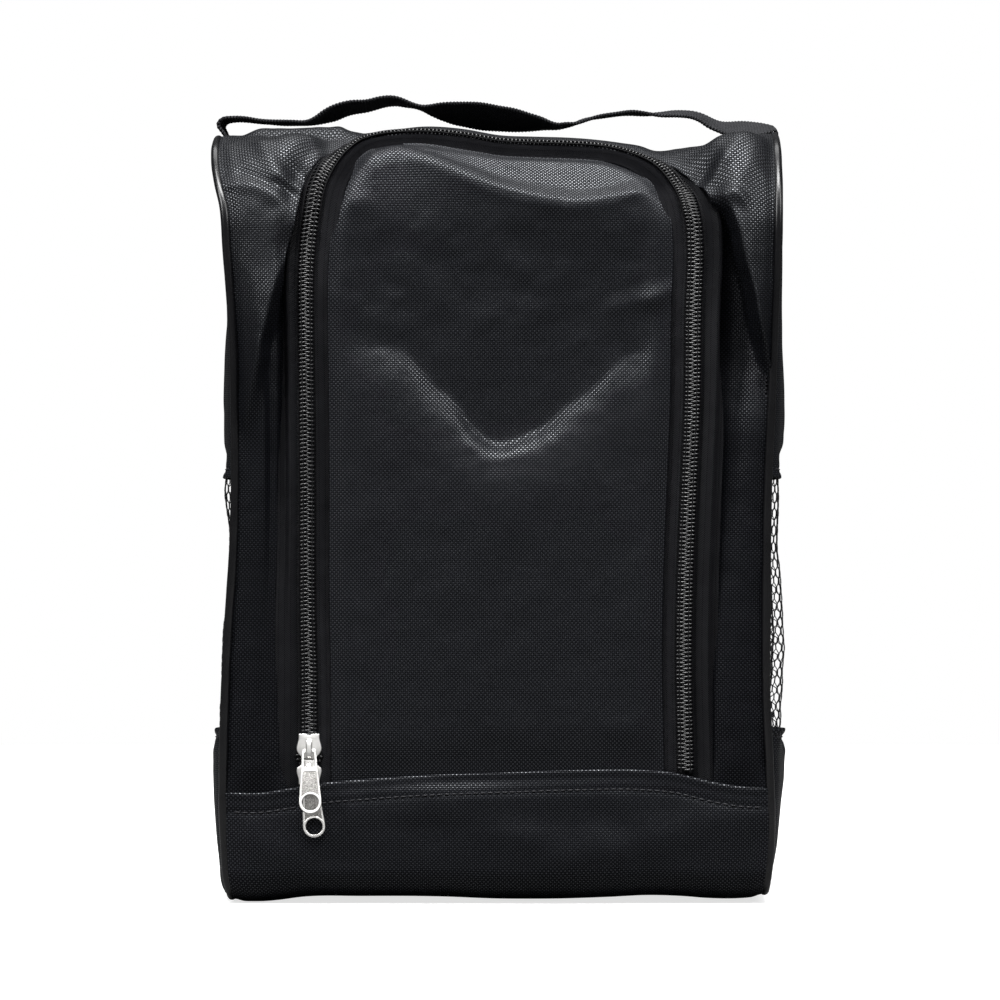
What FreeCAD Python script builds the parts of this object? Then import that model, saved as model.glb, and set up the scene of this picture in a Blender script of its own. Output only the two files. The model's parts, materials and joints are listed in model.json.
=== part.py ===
import FreeCAD
import Part
import math
import os

# Golf shoe bag with an arched zip door, mesh side windows, piping and a carry strap.
# Frame: +X to the bag's right seen from the front, +Y to the back, +Z up.
# Origin: centre of the footprint, on the plane the bag stands on. Millimetres.

V = FreeCAD.Vector

# ---- bag body ----
BAG_HALF_W = 117.0       # half width of the wrap panels between the side seams
BAG_HALF_D = 63.5        # half depth of the wrap panels
BAG_TOP = 346.0          # outer face of the top fabric
BAND_T = 1.2             # base band fabric
BAND_GAP = 0.1           # between band and wrap
WRAP_BOTTOM = BAND_T + BAND_GAP
FABRIC_T = 1.2
R_FRONT_TOP = 50.0       # soft roll from the front into the top
R_BACK_TOP = 25.0
R_BOTTOM = 14.0
ROLL_Z = BAG_TOP - R_FRONT_TOP           # axis of the front roll
ROLL_Y = -BAG_HALF_D + R_FRONT_TOP
WRAP_LOW_EDGE = 46.0     # raw edges of front and back, tucked under the band
BACK_SEAM_Y = BAG_HALF_D - R_BACK_TOP    # where the top meets the back panel
BACK_SEAM_GAP = 0.1
BAND_BACK_Z = 56.0       # straight hem at the back

# ---- zip and flap; edges are measured from the zip centreline ----
ZIP_X = 84.0             # half distance between the legs
ZIP_TOP_S = 351.0        # top run, height measured along the cloth
ZIP_CORNER_R = 42.0
ZIP_LOW_S = 20.0         # lower end of the cutting prisms
COIL_HALF_W = 3.75
COIL_SLOT = 0.6          # half of the slot between the two coil rows
COIL_OUT = 1.4           # coil stands this far proud of the cloth
COIL_HEM_GAP = 0.5       # coil ends this far above the band's hem
COIL_HEM_INSET = 4.5     # the hem is read this far inward of each zip leg
TAPE_T = 0.6
TAPE_GAP = 0.1           # between cloth and tape
TAPE_W = 15.0
TAPE_EDGE = 1.0          # facing edge of each tape
SURROUND_EDGE = 8.0
FLAP_EDGE = 10.0
FOLD_Z = 78.0            # height of the flap's fold line
FOLD_GAP = 0.3

# ---- side seams and side panels ----
PIPING_R = 1.9
PIPING_X = BAG_HALF_W + 0.2 + PIPING_R
PIPING_INSET = 1.0
PIPING_START_Z = 100.0
FLANGE_INSETS = (2.2, 9.5)
FLANGE_X = (BAG_HALF_W + 0.3, BAG_HALF_W + 1.1)
BINDING_INSETS = (2.1, 11.0)
BINDING_X = (BAG_HALF_W - 1.0, BAG_HALF_W + 0.2)
SIDE_INSET = 3.0
MESH_LOW, MESH_HIGH = 75.0, 189.0        # mesh window
MESH_LAP = 5.0           # mesh runs on past the window
CLOTH_LAP = 2.0          # side cloth runs into the window
MESH_T = 0.6
MESH_X = BAG_HALF_W + 1.2
SIDE_X = MESH_X + MESH_T + 0.1           # inner face of the side cloth
SIDE_OUTER_X = SIDE_X + FABRIC_T

# ---- stitches ----
STITCH_LIFT = 0.02       # clearance from the cloth
STITCH_T = 0.3
STITCH_HALF_H = 0.2
STITCH_L = 2.4
STITCH_PITCH = 3.2
SIDE_STITCH_HALF_SPAN = 54.0
SIDE_STITCH_OFFSET = 1.5                 # outside the mesh window
BAND_STITCH_SPAN = (-112.0, 111.0)
BAND_STITCH_DROP = 8.0                   # below the hem
TACK_L = 2.2
TACK_PITCH = 2.9
TACK_SPAN = (-10.5, 9.0)
TACK_ROWS = (324.5, 328.0, 336.5)

# ---- sliders and pull tabs, on the left zip leg ----
SLIDER_HALF_L = 5.5
SLIDER_BACK, SLIDER_FRONT = -3.3, 2.9    # outward from the cloth face
CROWN_W = 2.7
UPPER_SLIDER_Z = 69.9
LOWER_SLIDER_Z = 58.55
PULL_T = 1.2
PULL_L = 28.3
PULL_END_R = 4.95
PULL_HOLE_R = 3.65
PULL_RECESS = 0.2
PULL_BAR_L = 5.4
PIVOT_Y = -BAG_HALF_D - 3.65
UPPER_PIVOT_DROP = 2.0   # pivot below the slider's middle
LOWER_PIVOT_DROP = 0.6

# ---- carry strap ----
STRAP_W = 25.0
STRAP_T = 1.5
STRAP_X = 121.9          # middle of the webbing where it rises past the top
STRAP_END_TOP = 347.9
STRAP_LEG_START = 348.5
STRAP_SPLIT = 50.0       # the grip meets the legs here
STRAP_SPLIT_GAP = 0.2    # each side of the split
STRAP_END_GAP = 0.1      # between side cloth and strap end

# ---- oversize limits for cutting zones ----
FAR = 200.0
HIGH = 400.0
DEEP = -20.0
HEM_PLANE_Y = -100.0

SIDES = ((-1, "left"), (1, "right"))

# Front hem of the base band, left to right: (x, z).
HEM = [
    (-BAG_HALF_W - 3, 49.0), (-104, 48.6), (-92, 50.5), (-80, 52.6), (-58, 54.6),
    (-28, 56.6), (2, 57.6), (34, 58.6), (62, 58.8), (80, 57.2), (96, 53.2),
    (108, 51.2), (BAG_HALF_W + 3, 51.0),
]

# Slider plan, nose at negative along: (half width, along).
SLIDER_PLAN = [
    (4.6, SLIDER_HALF_L), (4.65, 3.2), (5.2, 1.2), (5.6, -0.6), (5.4, -2.0), (4.5, -3.5),
    (3.5, -4.5), (2.5, -4.9), (2.1, -5.35), (1.2, -SLIDER_HALF_L),
]
# Bridge over the slider, seen from the side: (along, out).
CROWN_OUTER = [(3.6, 2.6), (3.0, 4.5), (1.6, 5.4), (-1.0, 5.6), (-3.2, 5.4), (-4.6, 4.5),
               (-5.3, 2.6)]
CROWN_GAP = [(2.0, 2.9), (1.6, 4.4), (-3.3, 4.4), (-3.8, 2.9)]

# Pull tab hanging from its pivot at z = 0.
PULL_EYE_Z = -PULL_L + PULL_END_R
# (half width, z)
PULL_PLAN = [(3.0, 0.0), (3.35, -4.0), (3.6, -8.0), (4.1, -13.0), (4.9, -22.0),
             (PULL_END_R, PULL_EYE_Z)]
# (x, z)
PULL_WINDOW = [(-2.0, 0.8), (2.0, 0.8), (2.35, -7.4), (1.6, -8.3), (-1.6, -8.3), (-2.35, -7.4)]
PULL_PANEL = [(-2.9, -9.8), (2.9, -9.8), (3.7, -18.3), (-3.7, -18.3)]

# Middle line of the slack strap, left to right: (x, z).
WAVE = [
    (-STRAP_X, STRAP_LEG_START), (-122.1, 350.2), (-120.5, 352.0), (-114.5, 353.0),
    (-106, 352.4), (-95, 350.9), (-86, 350.7), (-79.7, 351.8), (-73.2, 355.3),
    (-66.6, 357.6), (-58, 359.0), (-49.2, 360.6), (-42.6, 360.2), (-36.2, 358.6),
    (-29.6, 357.1), (-21, 355.7), (-7.8, 354.2), (5.2, 352.3), (18.3, 350.6),
    (27, 349.6), (33.5, 350.4), (40, 352.3), (48.8, 354.2), (59.7, 355.3),
    (68.4, 355.0), (77, 355.0), (85.8, 354.6), (92.3, 352.4), (98.5, 350.6),
    (105, 349.9), (112, 350.6), (118, 351.6), (121.4, 350.8), (STRAP_X, STRAP_LEG_START),
]


# ---- helpers ----
def save(name, shape):
    solids = shape.Solids
    piece = solids[0] if len(solids) == 1 else Part.makeCompound(solids)
    piece.exportStep("parts/" + name + ".step")


def box(x0, x1, y0, y1, z0, z1):
    return Part.makeBox(x1 - x0, y1 - y0, z1 - z0, V(x0, y0, z0))


def zone(z0, z1, y0=-FAR, y1=FAR):
    """Cutting block over the full width."""
    return box(-FAR, FAR, y0, y1, z0, z1)


def span(side, near, far):
    """X limits, in rising order, of a layer between two distances from the middle."""
    return sorted((side * near, side * far))


def polygon_face(points):
    return Part.Face(Part.makePolygon(points + [points[0]]))


def curve_through(points):
    curve = Part.BSplineCurve()
    curve.interpolate(points)
    return curve


def lines(points):
    return [Part.makeLine(a, b) for a, b in zip(points, points[1:])]


def steps(start, stop, pitch):
    return [start + i * pitch for i in range(math.ceil((stop - start) / pitch))]


def side_stitch(side, x, y, z, length):
    x0, x1 = span(side, x + STITCH_LIFT, x + STITCH_LIFT + STITCH_T)
    return box(x0, x1, y, y + length, z - STITCH_HALF_H, z + STITCH_HALF_H)


# ---- wrap profile: a rounded rectangle in the YZ plane ----
def profile_wire(inset, x):
    y0, y1 = -BAG_HALF_D + inset, BAG_HALF_D - inset
    z0, z1 = WRAP_BOTTOM + inset, BAG_TOP - inset
    r_front, r_back, r_low = R_FRONT_TOP - inset, R_BACK_TOP - inset, R_BOTTOM - inset
    pi = math.pi

    def line(ya, za, yb, zb):
        return Part.makeLine(V(x, ya, za), V(x, yb, zb))

    def arc(yc, zc, r, start, end):
        angles = (start, (start + end) / 2.0, end)
        return Part.Arc(*[V(x, yc + r * math.cos(a), zc + r * math.sin(a))
                          for a in angles]).toShape()

    return Part.Wire([
        line(y0, z0 + r_low, y0, z1 - r_front),
        arc(y0 + r_front, z1 - r_front, r_front, pi, pi / 2),
        line(y0 + r_front, z1, y1 - r_back, z1),
        arc(y1 - r_back, z1 - r_back, r_back, pi / 2, 0),
        line(y1, z1 - r_back, y1, z0 + r_low),
        arc(y1 - r_low, z0 + r_low, r_low, 0, -pi / 2),
        line(y1 - r_low, z0, y0 + r_low, z0),
        arc(y0 + r_low, z0 + r_low, r_low, -pi / 2, -pi),
    ])


def prism(inset, x0, x1):
    return Part.Face(profile_wire(inset, x0)).extrude(V(x1 - x0, 0, 0))


def ring(outer_inset, inner_inset, x0=-BAG_HALF_W, x1=BAG_HALF_W):
    """Layer that follows the wrap between two insets."""
    return prism(outer_inset, x0, x1).cut(prism(inner_inset, x0 - 1, x1 + 1))


# ---- arched zip opening ----
# Its cutting prisms run along a 45 degree line into the bag,
# so that they meet the front and the rolled top at a fair angle.
CUT_DIR = V(0, 1, -1)
CUT_DIR.normalize()
CUT_BASE = V(0, -120, 300)
CUT_DEPTH = 260.0
CORNER_STEPS = 14


def on_cloth(x, s):
    """Point on the outer face; s is the height measured along the cloth."""
    if s <= ROLL_Z:
        return V(x, -BAG_HALF_D, s)
    angle = (s - ROLL_Z) / R_FRONT_TOP
    if angle <= math.pi / 2:
        return V(x, ROLL_Y - R_FRONT_TOP * math.cos(angle),
                 ROLL_Z + R_FRONT_TOP * math.sin(angle))
    return V(x, ROLL_Y + (angle - math.pi / 2) * R_FRONT_TOP, BAG_TOP)


def on_cut_plane(point):
    return point - CUT_DIR * (point - CUT_BASE).dot(CUT_DIR)


def arch(offset):
    """Solid prism through the zip opening; offset is outward from the zip centreline."""
    r = ZIP_CORNER_R + offset
    centre_s = ZIP_TOP_S - ZIP_CORNER_R
    centre_x = ZIP_X - ZIP_CORNER_R

    def corner(side):
        points = []
        for i in range(CORNER_STEPS + 1):
            a = math.pi / 2 * i / CORNER_STEPS
            cloth_point = on_cloth(side * (centre_x + r * math.cos(a)),
                                   centre_s + r * math.sin(a))
            points.append(on_cut_plane(cloth_point))
        return points

    left, right = corner(-1), corner(1)
    low_left = on_cut_plane(on_cloth(-(ZIP_X + offset), ZIP_LOW_S))
    low_right = on_cut_plane(on_cloth(ZIP_X + offset, ZIP_LOW_S))
    outline = Part.Wire([
        Part.makeLine(low_left, left[0]),
        curve_through(left).toShape(),
        Part.makeLine(left[-1], right[-1]),
        curve_through(right[::-1]).toShape(),
        Part.makeLine(right[0], low_right),
        Part.makeLine(low_right, low_left),
    ])
    return Part.Face(outline).extrude(CUT_DIR * CUT_DEPTH)


FRONT_TOP_ZONE = zone(WRAP_LOW_EDGE, HIGH, y1=BACK_SEAM_Y)
BACK_ZONE = zone(WRAP_LOW_EDGE, HIGH, y0=BACK_SEAM_Y + BACK_SEAM_GAP)
ABOVE_FOLD = zone(FOLD_Z + FOLD_GAP, HIGH)
BELOW_FOLD = zone(WRAP_LOW_EDGE, FOLD_Z)


def save_split(shape, upper_name, root_name):
    """Save the moving part above the fold and the fixed root below it."""
    save(upper_name, shape.common(ABOVE_FOLD))
    save(root_name, shape.common(BELOW_FOLD))


def wrap_panels():
    cloth = ring(0, FABRIC_T)
    save("front_surround", cloth.common(FRONT_TOP_ZONE).cut(arch(SURROUND_EDGE)))
    save("back_panel", cloth.common(BACK_ZONE))
    flap = cloth.common(FRONT_TOP_ZONE).common(arch(-FLAP_EDGE))
    save_split(flap, "flap_panel", "flap_root")


def zip_tapes():
    """Flat tapes behind the edges of the surround and the flap."""
    outer_face = FABRIC_T + TAPE_GAP
    layer = ring(outer_face, outer_face + TAPE_T).common(FRONT_TOP_ZONE)
    save("zip_tape_outer", layer.common(arch(TAPE_W)).cut(arch(TAPE_EDGE)))
    inner = layer.common(arch(-TAPE_EDGE)).cut(arch(-TAPE_W - TAPE_EDGE))
    save_split(inner, "zip_tape_inner", "zip_tape_inner_root")


# ---- base band ----
HEM_CURVE = curve_through([V(x, HEM_PLANE_Y, z) for x, z in HEM])


def hem_z(x):
    """Height of the front hem at x, found by halving the curve's parameter range."""
    low, high = HEM_CURVE.FirstParameter, HEM_CURVE.LastParameter
    for _ in range(60):
        middle = (low + high) / 2
        if HEM_CURVE.value(middle).x < x:
            low = middle
        else:
            high = middle
    return HEM_CURVE.value((low + high) / 2).z


def base_band():
    """Front, bottom and back in one strip, with a wavy hem at the front."""
    (x0, z0), (x1, z1) = HEM[0], HEM[-1]
    border = [V(x1, HEM_PLANE_Y, z1), V(x1, HEM_PLANE_Y, DEEP),
              V(x0, HEM_PLANE_Y, DEEP), V(x0, HEM_PLANE_Y, z0)]
    hem_face = Part.Face(Part.Wire([HEM_CURVE.toShape()] + lines(border)))
    hem_zone = hem_face.extrude(V(0, -HEM_PLANE_Y, 0))
    layer = ring(-WRAP_BOTTOM, -BAND_GAP)
    front = layer.common(hem_zone)
    back = layer.common(zone(DEEP, BAND_BACK_Z, y0=0))
    save("base_band", front.fuse(back).removeSplitter())


def band_topstitch():
    y = -BAG_HALF_D - WRAP_BOTTOM - STITCH_LIFT
    row = []
    for x in steps(*BAND_STITCH_SPAN, STITCH_PITCH):
        z = hem_z(x + STITCH_L / 2) - BAND_STITCH_DROP
        row.append(box(x, x + STITCH_L, y - STITCH_T, y, z - STITCH_HALF_H, z + STITCH_HALF_H))
    save("band_topstitch", Part.makeCompound(row))


def zip_coils():
    """One coil row each side of the centreline, ending just above the band's hem."""
    hem_x = ZIP_X - COIL_HEM_INSET
    left = box(-FAR, 0, -FAR, BACK_SEAM_Y, hem_z(-hem_x) + COIL_HEM_GAP, HIGH)
    right = box(0, FAR, -FAR, BACK_SEAM_Y, hem_z(hem_x) + COIL_HEM_GAP, HIGH)
    layer = ring(-COIL_OUT, FABRIC_T).common(left.fuse(right))
    outer = layer.common(arch(COIL_HALF_W)).cut(arch(COIL_SLOT)).removeSplitter()
    save("zip_coil_outer", outer)
    inner = layer.common(arch(-COIL_SLOT)).cut(arch(-COIL_HALF_W)).removeSplitter()
    save_split(inner, "zip_coil_inner", "zip_coil_inner_root")


# ---- side seams and side panels ----
def piping(side, name):
    """Solid bead round the side seam, with a sewing flange."""
    x = side * PIPING_X
    edges = profile_wire(PIPING_INSET, x).Edges
    # The sweep starts within the straight front run, so that run is split in two.
    low, high = sorted((v.Point for v in edges[0].Vertexes), key=lambda point: point.z)
    start = V(x, -BAG_HALF_D + PIPING_INSET, PIPING_START_Z)
    spine = Part.Wire([Part.makeLine(start, high)] + edges[1:] + [Part.makeLine(low, start)])
    section = Part.Wire(Part.makeCircle(PIPING_R, start, V(0, 0, 1)))
    bead = spine.makePipeShell([section], True, False)
    save("piping_" + name, bead.fuse(ring(*FLANGE_INSETS, *span(side, *FLANGE_X))))


def seam_binding(side, name):
    save("seam_binding_" + name, ring(*BINDING_INSETS, *span(side, *BINDING_X)))


def side_panels(side, name):
    """Mesh window with cloth above and below, and a stitch row along each edge."""
    def plate(x, thickness, z0, z1):
        return prism(SIDE_INSET, *span(side, x, x + thickness)).common(zone(z0, z1))

    save("side_mesh_" + name, plate(MESH_X, MESH_T, MESH_LOW - MESH_LAP, MESH_HIGH + MESH_LAP))
    save("side_upper_" + name, plate(SIDE_X, FABRIC_T, MESH_HIGH - CLOTH_LAP, HIGH))
    save("side_lower_" + name, plate(SIDE_X, FABRIC_T, DEEP, MESH_LOW + CLOTH_LAP))
    stitches = [side_stitch(side, SIDE_OUTER_X, y, z, STITCH_L)
                for y in steps(-SIDE_STITCH_HALF_SPAN, SIDE_STITCH_HALF_SPAN, STITCH_PITCH)
                for z in (MESH_LOW - SIDE_STITCH_OFFSET, MESH_HIGH + SIDE_STITCH_OFFSET)]
    save("side_topstitch_" + name, Part.makeCompound(stitches))


# ---- zip sliders ----
def slider(z_mid, nose):
    """Slider body; nose is +1 if the narrow end points up, -1 if down."""
    def at(across, along, out):
        return V(-ZIP_X + across, -BAG_HALF_D - out, z_mid - nose * along)

    def block(across, along, out):
        a, b = [at(*corner) for corner in zip(across, along, out)]
        return box(*sorted((a.x, b.x)), *sorted((a.y, b.y)), *sorted((a.z, b.z)))

    def side_profile(points, half_w):
        face = polygon_face([at(-half_w, along, out) for along, out in points])
        return face.extrude(V(2 * half_w, 0, 0))

    plan = [at(across, along, SLIDER_BACK) for across, along in SLIDER_PLAN]
    plan += [at(-across, along, SLIDER_BACK) for across, along in reversed(SLIDER_PLAN)]
    body = polygon_face(plan).extrude(V(0, SLIDER_BACK - SLIDER_FRONT, 0))
    # channel for the coils, then the side slots for the tapes
    body = body.cut(block((-3.95, 3.95), (-9, 9), (-2.1, 1.6)))
    body = body.cut(block((-9, 9), (-9, 9), (-2.1, -1.1)))
    # post between front and back plates, at the nose
    body = body.fuse(block((-0.5, 0.5), (-5.0, -1.4), (-2.2, 1.7)))
    # crown: the bridge that holds the pull's crossbar
    crown = side_profile(CROWN_OUTER, CROWN_W / 2).cut(side_profile(CROWN_GAP, 3.0))
    return body.fuse(crown).removeSplitter()


# ---- pull tabs ----
def pull(pivot_z, tilt_out, swing):
    """Crossbar, windowed neck, recessed plate and a round eye.

    tilt_out lifts the eye off the front and swing moves it to +X, in degrees.
    """
    half_t = PULL_T / 2
    left = [V(-x, half_t, z) for x, z in PULL_PLAN]
    right = [V(x, half_t, z) for x, z in reversed(PULL_PLAN)]
    tip = V(0, half_t, PULL_EYE_Z - PULL_END_R)
    edges = lines(left)
    edges.append(Part.Arc(left[-1], tip, right[0]).toShape())
    edges += lines(right + [left[0]])
    plate = Part.Face(Part.Wire(edges)).extrude(V(0, -PULL_T, 0))

    eye = Part.makeCylinder(PULL_HOLE_R, 4, V(0, -2, PULL_EYE_Z), V(0, 1, 0))
    window = polygon_face([V(x, 2, z) for x, z in PULL_WINDOW]).extrude(V(0, -4, 0))
    panel = polygon_face([V(x, -half_t - 1, z) for x, z in PULL_PANEL])
    recess = panel.extrude(V(0, 1 + PULL_RECESS, 0))
    plate = plate.cut(eye).cut(window).cut(recess)
    plate.rotate(V(0, 0, 0), V(0, 1, 0), -swing)

    bar = Part.makeCylinder(half_t, PULL_BAR_L, V(-PULL_BAR_L / 2, 0, 0), V(1, 0, 0))
    tab = plate.fuse(bar)
    tab.rotate(V(0, 0, 0), V(1, 0, 0), -tilt_out)
    tab.translate(V(-ZIP_X, PIVOT_Y, pivot_z))
    return tab


# ---- carry strap: webbing lying in slack waves over the top ----
WAVE_CURVE = curve_through([V(x, 0, z) for x, z in WAVE])
WAVE_SAMPLES = 400       # for finding where a piece starts and ends
RIBBON_STEPS = 36


def ribbon(x_from, x_to):
    """Webbing along the wave between two x limits."""
    first, last = WAVE_CURVE.FirstParameter, WAVE_CURVE.LastParameter
    samples = [first + (last - first) * i / WAVE_SAMPLES for i in range(WAVE_SAMPLES + 1)]
    kept = [q for q in samples if x_from < WAVE_CURVE.value(q).x < x_to]
    start, end = kept[0], kept[-1]
    edge_shift = V(0, STRAP_W / 2, 0)
    upper, lower = [], []
    for i in range(RIBBON_STEPS + 1):
        q = start + (end - start) * i / RIBBON_STEPS
        middle, tangent = WAVE_CURVE.value(q), WAVE_CURVE.tangent(q)[0]
        normal = V(-tangent.z, 0, tangent.x)
        upper.append(middle + normal * (STRAP_T / 2) - edge_shift)
        lower.append(middle - normal * (STRAP_T / 2) - edge_shift)
    outline = Part.Wire([
        curve_through(upper).toShape(),
        Part.makeLine(upper[-1], lower[-1]),
        curve_through(lower).toShape(),
        Part.makeLine(lower[0], upper[0]),
    ])
    return Part.Face(outline).extrude(V(0, STRAP_W, 0))


def strap_end(side, name):
    """Strap end against the side cloth, stepping out to the leg, with its tack stitches."""
    half_t = STRAP_T / 2
    sewn_x = SIDE_OUTER_X + STRAP_END_GAP + half_t
    # middle line of the webbing: (distance from the bag's middle, z)
    middle = [(sewn_x, 322.0), (sewn_x, 340.0), (STRAP_X, 343.2), (STRAP_X, STRAP_END_TOP)]
    outline = [(x + half_t, z) for x, z in middle]
    outline += [(x - half_t, z) for x, z in reversed(middle)]
    face = polygon_face([V(side * x, -STRAP_W / 2, z) for x, z in outline])
    save("strap_end_" + name, face.extrude(V(0, STRAP_W, 0)))
    tacks = [side_stitch(side, sewn_x + half_t, y, z, TACK_L)
             for z in TACK_ROWS for y in steps(*TACK_SPAN, TACK_PITCH)]
    save("strap_tack_" + name, Part.makeCompound(tacks))


# ---- build ----
os.makedirs("parts", exist_ok=True)

wrap_panels()
zip_tapes()
base_band()
zip_coils()
band_topstitch()
for side, name in SIDES:
    piping(side, name)
    seam_binding(side, name)
    side_panels(side, name)
    strap_end(side, name)

save("upper_slider_body", slider(UPPER_SLIDER_Z, nose=-1))
save("lower_slider_body", slider(LOWER_SLIDER_Z, nose=1))
save("upper_pull_tab", pull(UPPER_SLIDER_Z - UPPER_PIVOT_DROP, tilt_out=18.0, swing=2.0))
save("lower_pull_tab", pull(LOWER_SLIDER_Z - LOWER_PIVOT_DROP, tilt_out=1.0, swing=5.5))

LEG_X = STRAP_SPLIT + STRAP_SPLIT_GAP
GRIP_X = STRAP_SPLIT - STRAP_SPLIT_GAP
save("strap_left_leg", ribbon(-math.inf, -LEG_X))
save("strap_grip", ribbon(-GRIP_X, GRIP_X))
save("strap_right_leg", ribbon(LEG_X, math.inf))
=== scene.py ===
"""A soft upright case in dark woven cloth.

The cloth wraps foot, front, top and back, and two side panels with open net close it. An arched
zip with two sliders frames the front flap, and a webbing strap crosses the top.
The front faces -Y, left is -X, Z is up and the case stands on z = 0. Lengths are in mm, and
meshes are scaled to metres as they are made; lights, camera and fold points are in metres.
"""
import bpy
import bmesh
import json
import math
import numpy as np
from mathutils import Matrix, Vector

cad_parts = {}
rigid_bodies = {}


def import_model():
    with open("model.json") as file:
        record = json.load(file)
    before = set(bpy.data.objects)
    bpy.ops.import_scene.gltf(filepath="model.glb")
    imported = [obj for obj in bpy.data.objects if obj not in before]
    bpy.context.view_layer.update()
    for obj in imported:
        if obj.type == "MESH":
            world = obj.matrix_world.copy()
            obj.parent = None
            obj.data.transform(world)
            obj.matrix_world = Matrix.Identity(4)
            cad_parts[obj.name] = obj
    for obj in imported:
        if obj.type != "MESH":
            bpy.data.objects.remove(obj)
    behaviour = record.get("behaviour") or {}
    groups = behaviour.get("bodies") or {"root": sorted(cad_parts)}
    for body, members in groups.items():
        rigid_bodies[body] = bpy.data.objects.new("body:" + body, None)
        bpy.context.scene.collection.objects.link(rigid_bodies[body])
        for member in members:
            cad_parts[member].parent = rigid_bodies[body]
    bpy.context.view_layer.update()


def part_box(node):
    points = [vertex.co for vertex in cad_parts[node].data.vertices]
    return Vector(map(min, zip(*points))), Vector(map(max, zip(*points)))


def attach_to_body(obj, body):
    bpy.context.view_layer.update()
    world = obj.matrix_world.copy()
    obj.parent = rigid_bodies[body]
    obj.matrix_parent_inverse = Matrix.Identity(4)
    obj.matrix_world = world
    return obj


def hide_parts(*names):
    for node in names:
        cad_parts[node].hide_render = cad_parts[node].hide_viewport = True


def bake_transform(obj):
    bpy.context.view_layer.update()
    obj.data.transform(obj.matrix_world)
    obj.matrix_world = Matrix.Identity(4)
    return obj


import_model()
MM = 0.001
pi = math.pi
SIDES = ((-1, "left"), (1, "right"))

# ---------------------------------------------------------------- driving sizes
HALF_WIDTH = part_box("front_surround")[1].x / MM
HALF_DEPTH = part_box("back_panel")[1].y / MM
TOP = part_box("back_panel")[1].z / MM
FRONT_R = 50.0          # bend from front to top
BACK_R = 25.0           # bend from top to back
FOOT_R = 14.0           # bends at the foot
UNDERSIDE = 1.3         # height of the cloth under the case
FOOT_TOP = UNDERSIDE + FOOT_R
UNDER_LENGTH = 2 * (HALF_DEPTH - FOOT_R)
TOP_LENGTH = 2 * HALF_DEPTH - FRONT_R - BACK_R

# "run" is the distance along the wrap; it equals z on the front face
RUN_FRONT_BEND = TOP - FRONT_R
RUN_TOP = RUN_FRONT_BEND + FRONT_R * pi / 2
RUN_BACK_BEND = RUN_TOP + TOP_LENGTH
RUN_BACK = RUN_BACK_BEND + BACK_R * pi / 2
RUN_BACK_END = RUN_BACK + (TOP - BACK_R) - FOOT_TOP

PIPE_X = 119.1          # centre of the piping
ZIP_X = 84.0            # zip legs
ZIP_TOP = 351.0
ZIP_R = 42.0            # zip corners
ZIP_FOOT = 46.0
ZIP_CORNER_X = ZIP_X - ZIP_R
ZIP_CORNER = ZIP_TOP - ZIP_R
# "way" is the distance along the zip, from the foot of its left leg
ZIP_LEG = ZIP_CORNER - ZIP_FOOT
ZIP_BEND = ZIP_R * pi / 2
ZIP_SPAN = 2 * ZIP_CORNER_X
ZIP_DOWN = ZIP_LEG + 2 * ZIP_BEND + ZIP_SPAN      # where the right leg starts
ZIP_LENGTH = ZIP_DOWN + ZIP_LEG


# ---------------------------------------------------------------- shaping functions
def ramp(start, end, value):
    """smooth step from 0 at start to 1 at end"""
    part = np.clip((np.asarray(value, float) - start) / (end - start), 0, 1)
    return part * part * (3 - 2 * part)


def fall(start, end, value):
    """smooth step from 1 at start to 0 at end"""
    return 1 - ramp(start, end, value)


def bell(value, centre, width):
    return np.exp(-(((value - centre) / width) ** 2))


def arc_sine(part):
    """half a sine wave while part goes from 0 to 1"""
    return np.sin(pi * np.clip(part, 0, 1))


def curve(value, points):
    """smooth curve through (value, result) points: cubic Hermite, held level past the ends"""
    points = np.array(points, float)
    knots, results = points[:, 0], points[:, 1]
    slopes = np.gradient(results, knots)
    value = np.clip(np.asarray(value, float), knots[0], knots[-1])
    k = np.clip(np.searchsorted(knots, value) - 1, 0, len(knots) - 2)
    gap = knots[k + 1] - knots[k]
    part = (value - knots[k]) / gap
    return ((2 * part**3 - 3 * part**2 + 1) * results[k]
            + (part**3 - 2 * part**2 + part) * gap * slopes[k]
            + (-2 * part**3 + 3 * part**2) * results[k + 1]
            + (part**3 - part**2) * gap * slopes[k + 1])


def noise(x, y, scale, seed):
    """smooth value noise in [-1, 1]"""
    table = np.random.default_rng(seed).uniform(-1, 1, (64, 64))
    x = np.asarray(x, float) / scale + 17.3
    y = np.asarray(y, float) / scale + 9.7
    i, j = np.floor(x).astype(int), np.floor(y).astype(int)
    x, y = x - i, y - j
    x = x * x * x * (x * (x * 6 - 15) + 10)
    y = y * y * y * (y * (y * 6 - 15) + 10)

    def cell(di, dj):
        return table[(i + di) % 64, (j + dj) % 64]

    return ((cell(0, 0) * (1 - x) + cell(1, 0) * x) * (1 - y)
            + (cell(0, 1) * (1 - x) + cell(1, 1) * x) * y)


def rumple(x, y, scale, seed, octaves=3):
    """value noise summed over halving scales"""
    return sum(0.5**i * noise(x, y, scale / 2**i, seed + i * 7) for i in range(octaves))


def ridge(x, run, points, width):
    """ridge of height 1 along a polyline of (x, run) points"""
    nearest = np.full(x.shape, 1e9)
    for (x0, run0), (x1, run1) in zip(points, points[1:]):
        dx, drun = x1 - x0, run1 - run0
        part = np.clip(((x - x0) * dx + (run - run0) * drun) / (dx * dx + drun * drun), 0, 1)
        away = np.hypot(x - (x0 + part * dx), run - (run0 + part * drun))
        nearest = np.minimum(nearest, away)
    return bell(nearest, 0, width)


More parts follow.
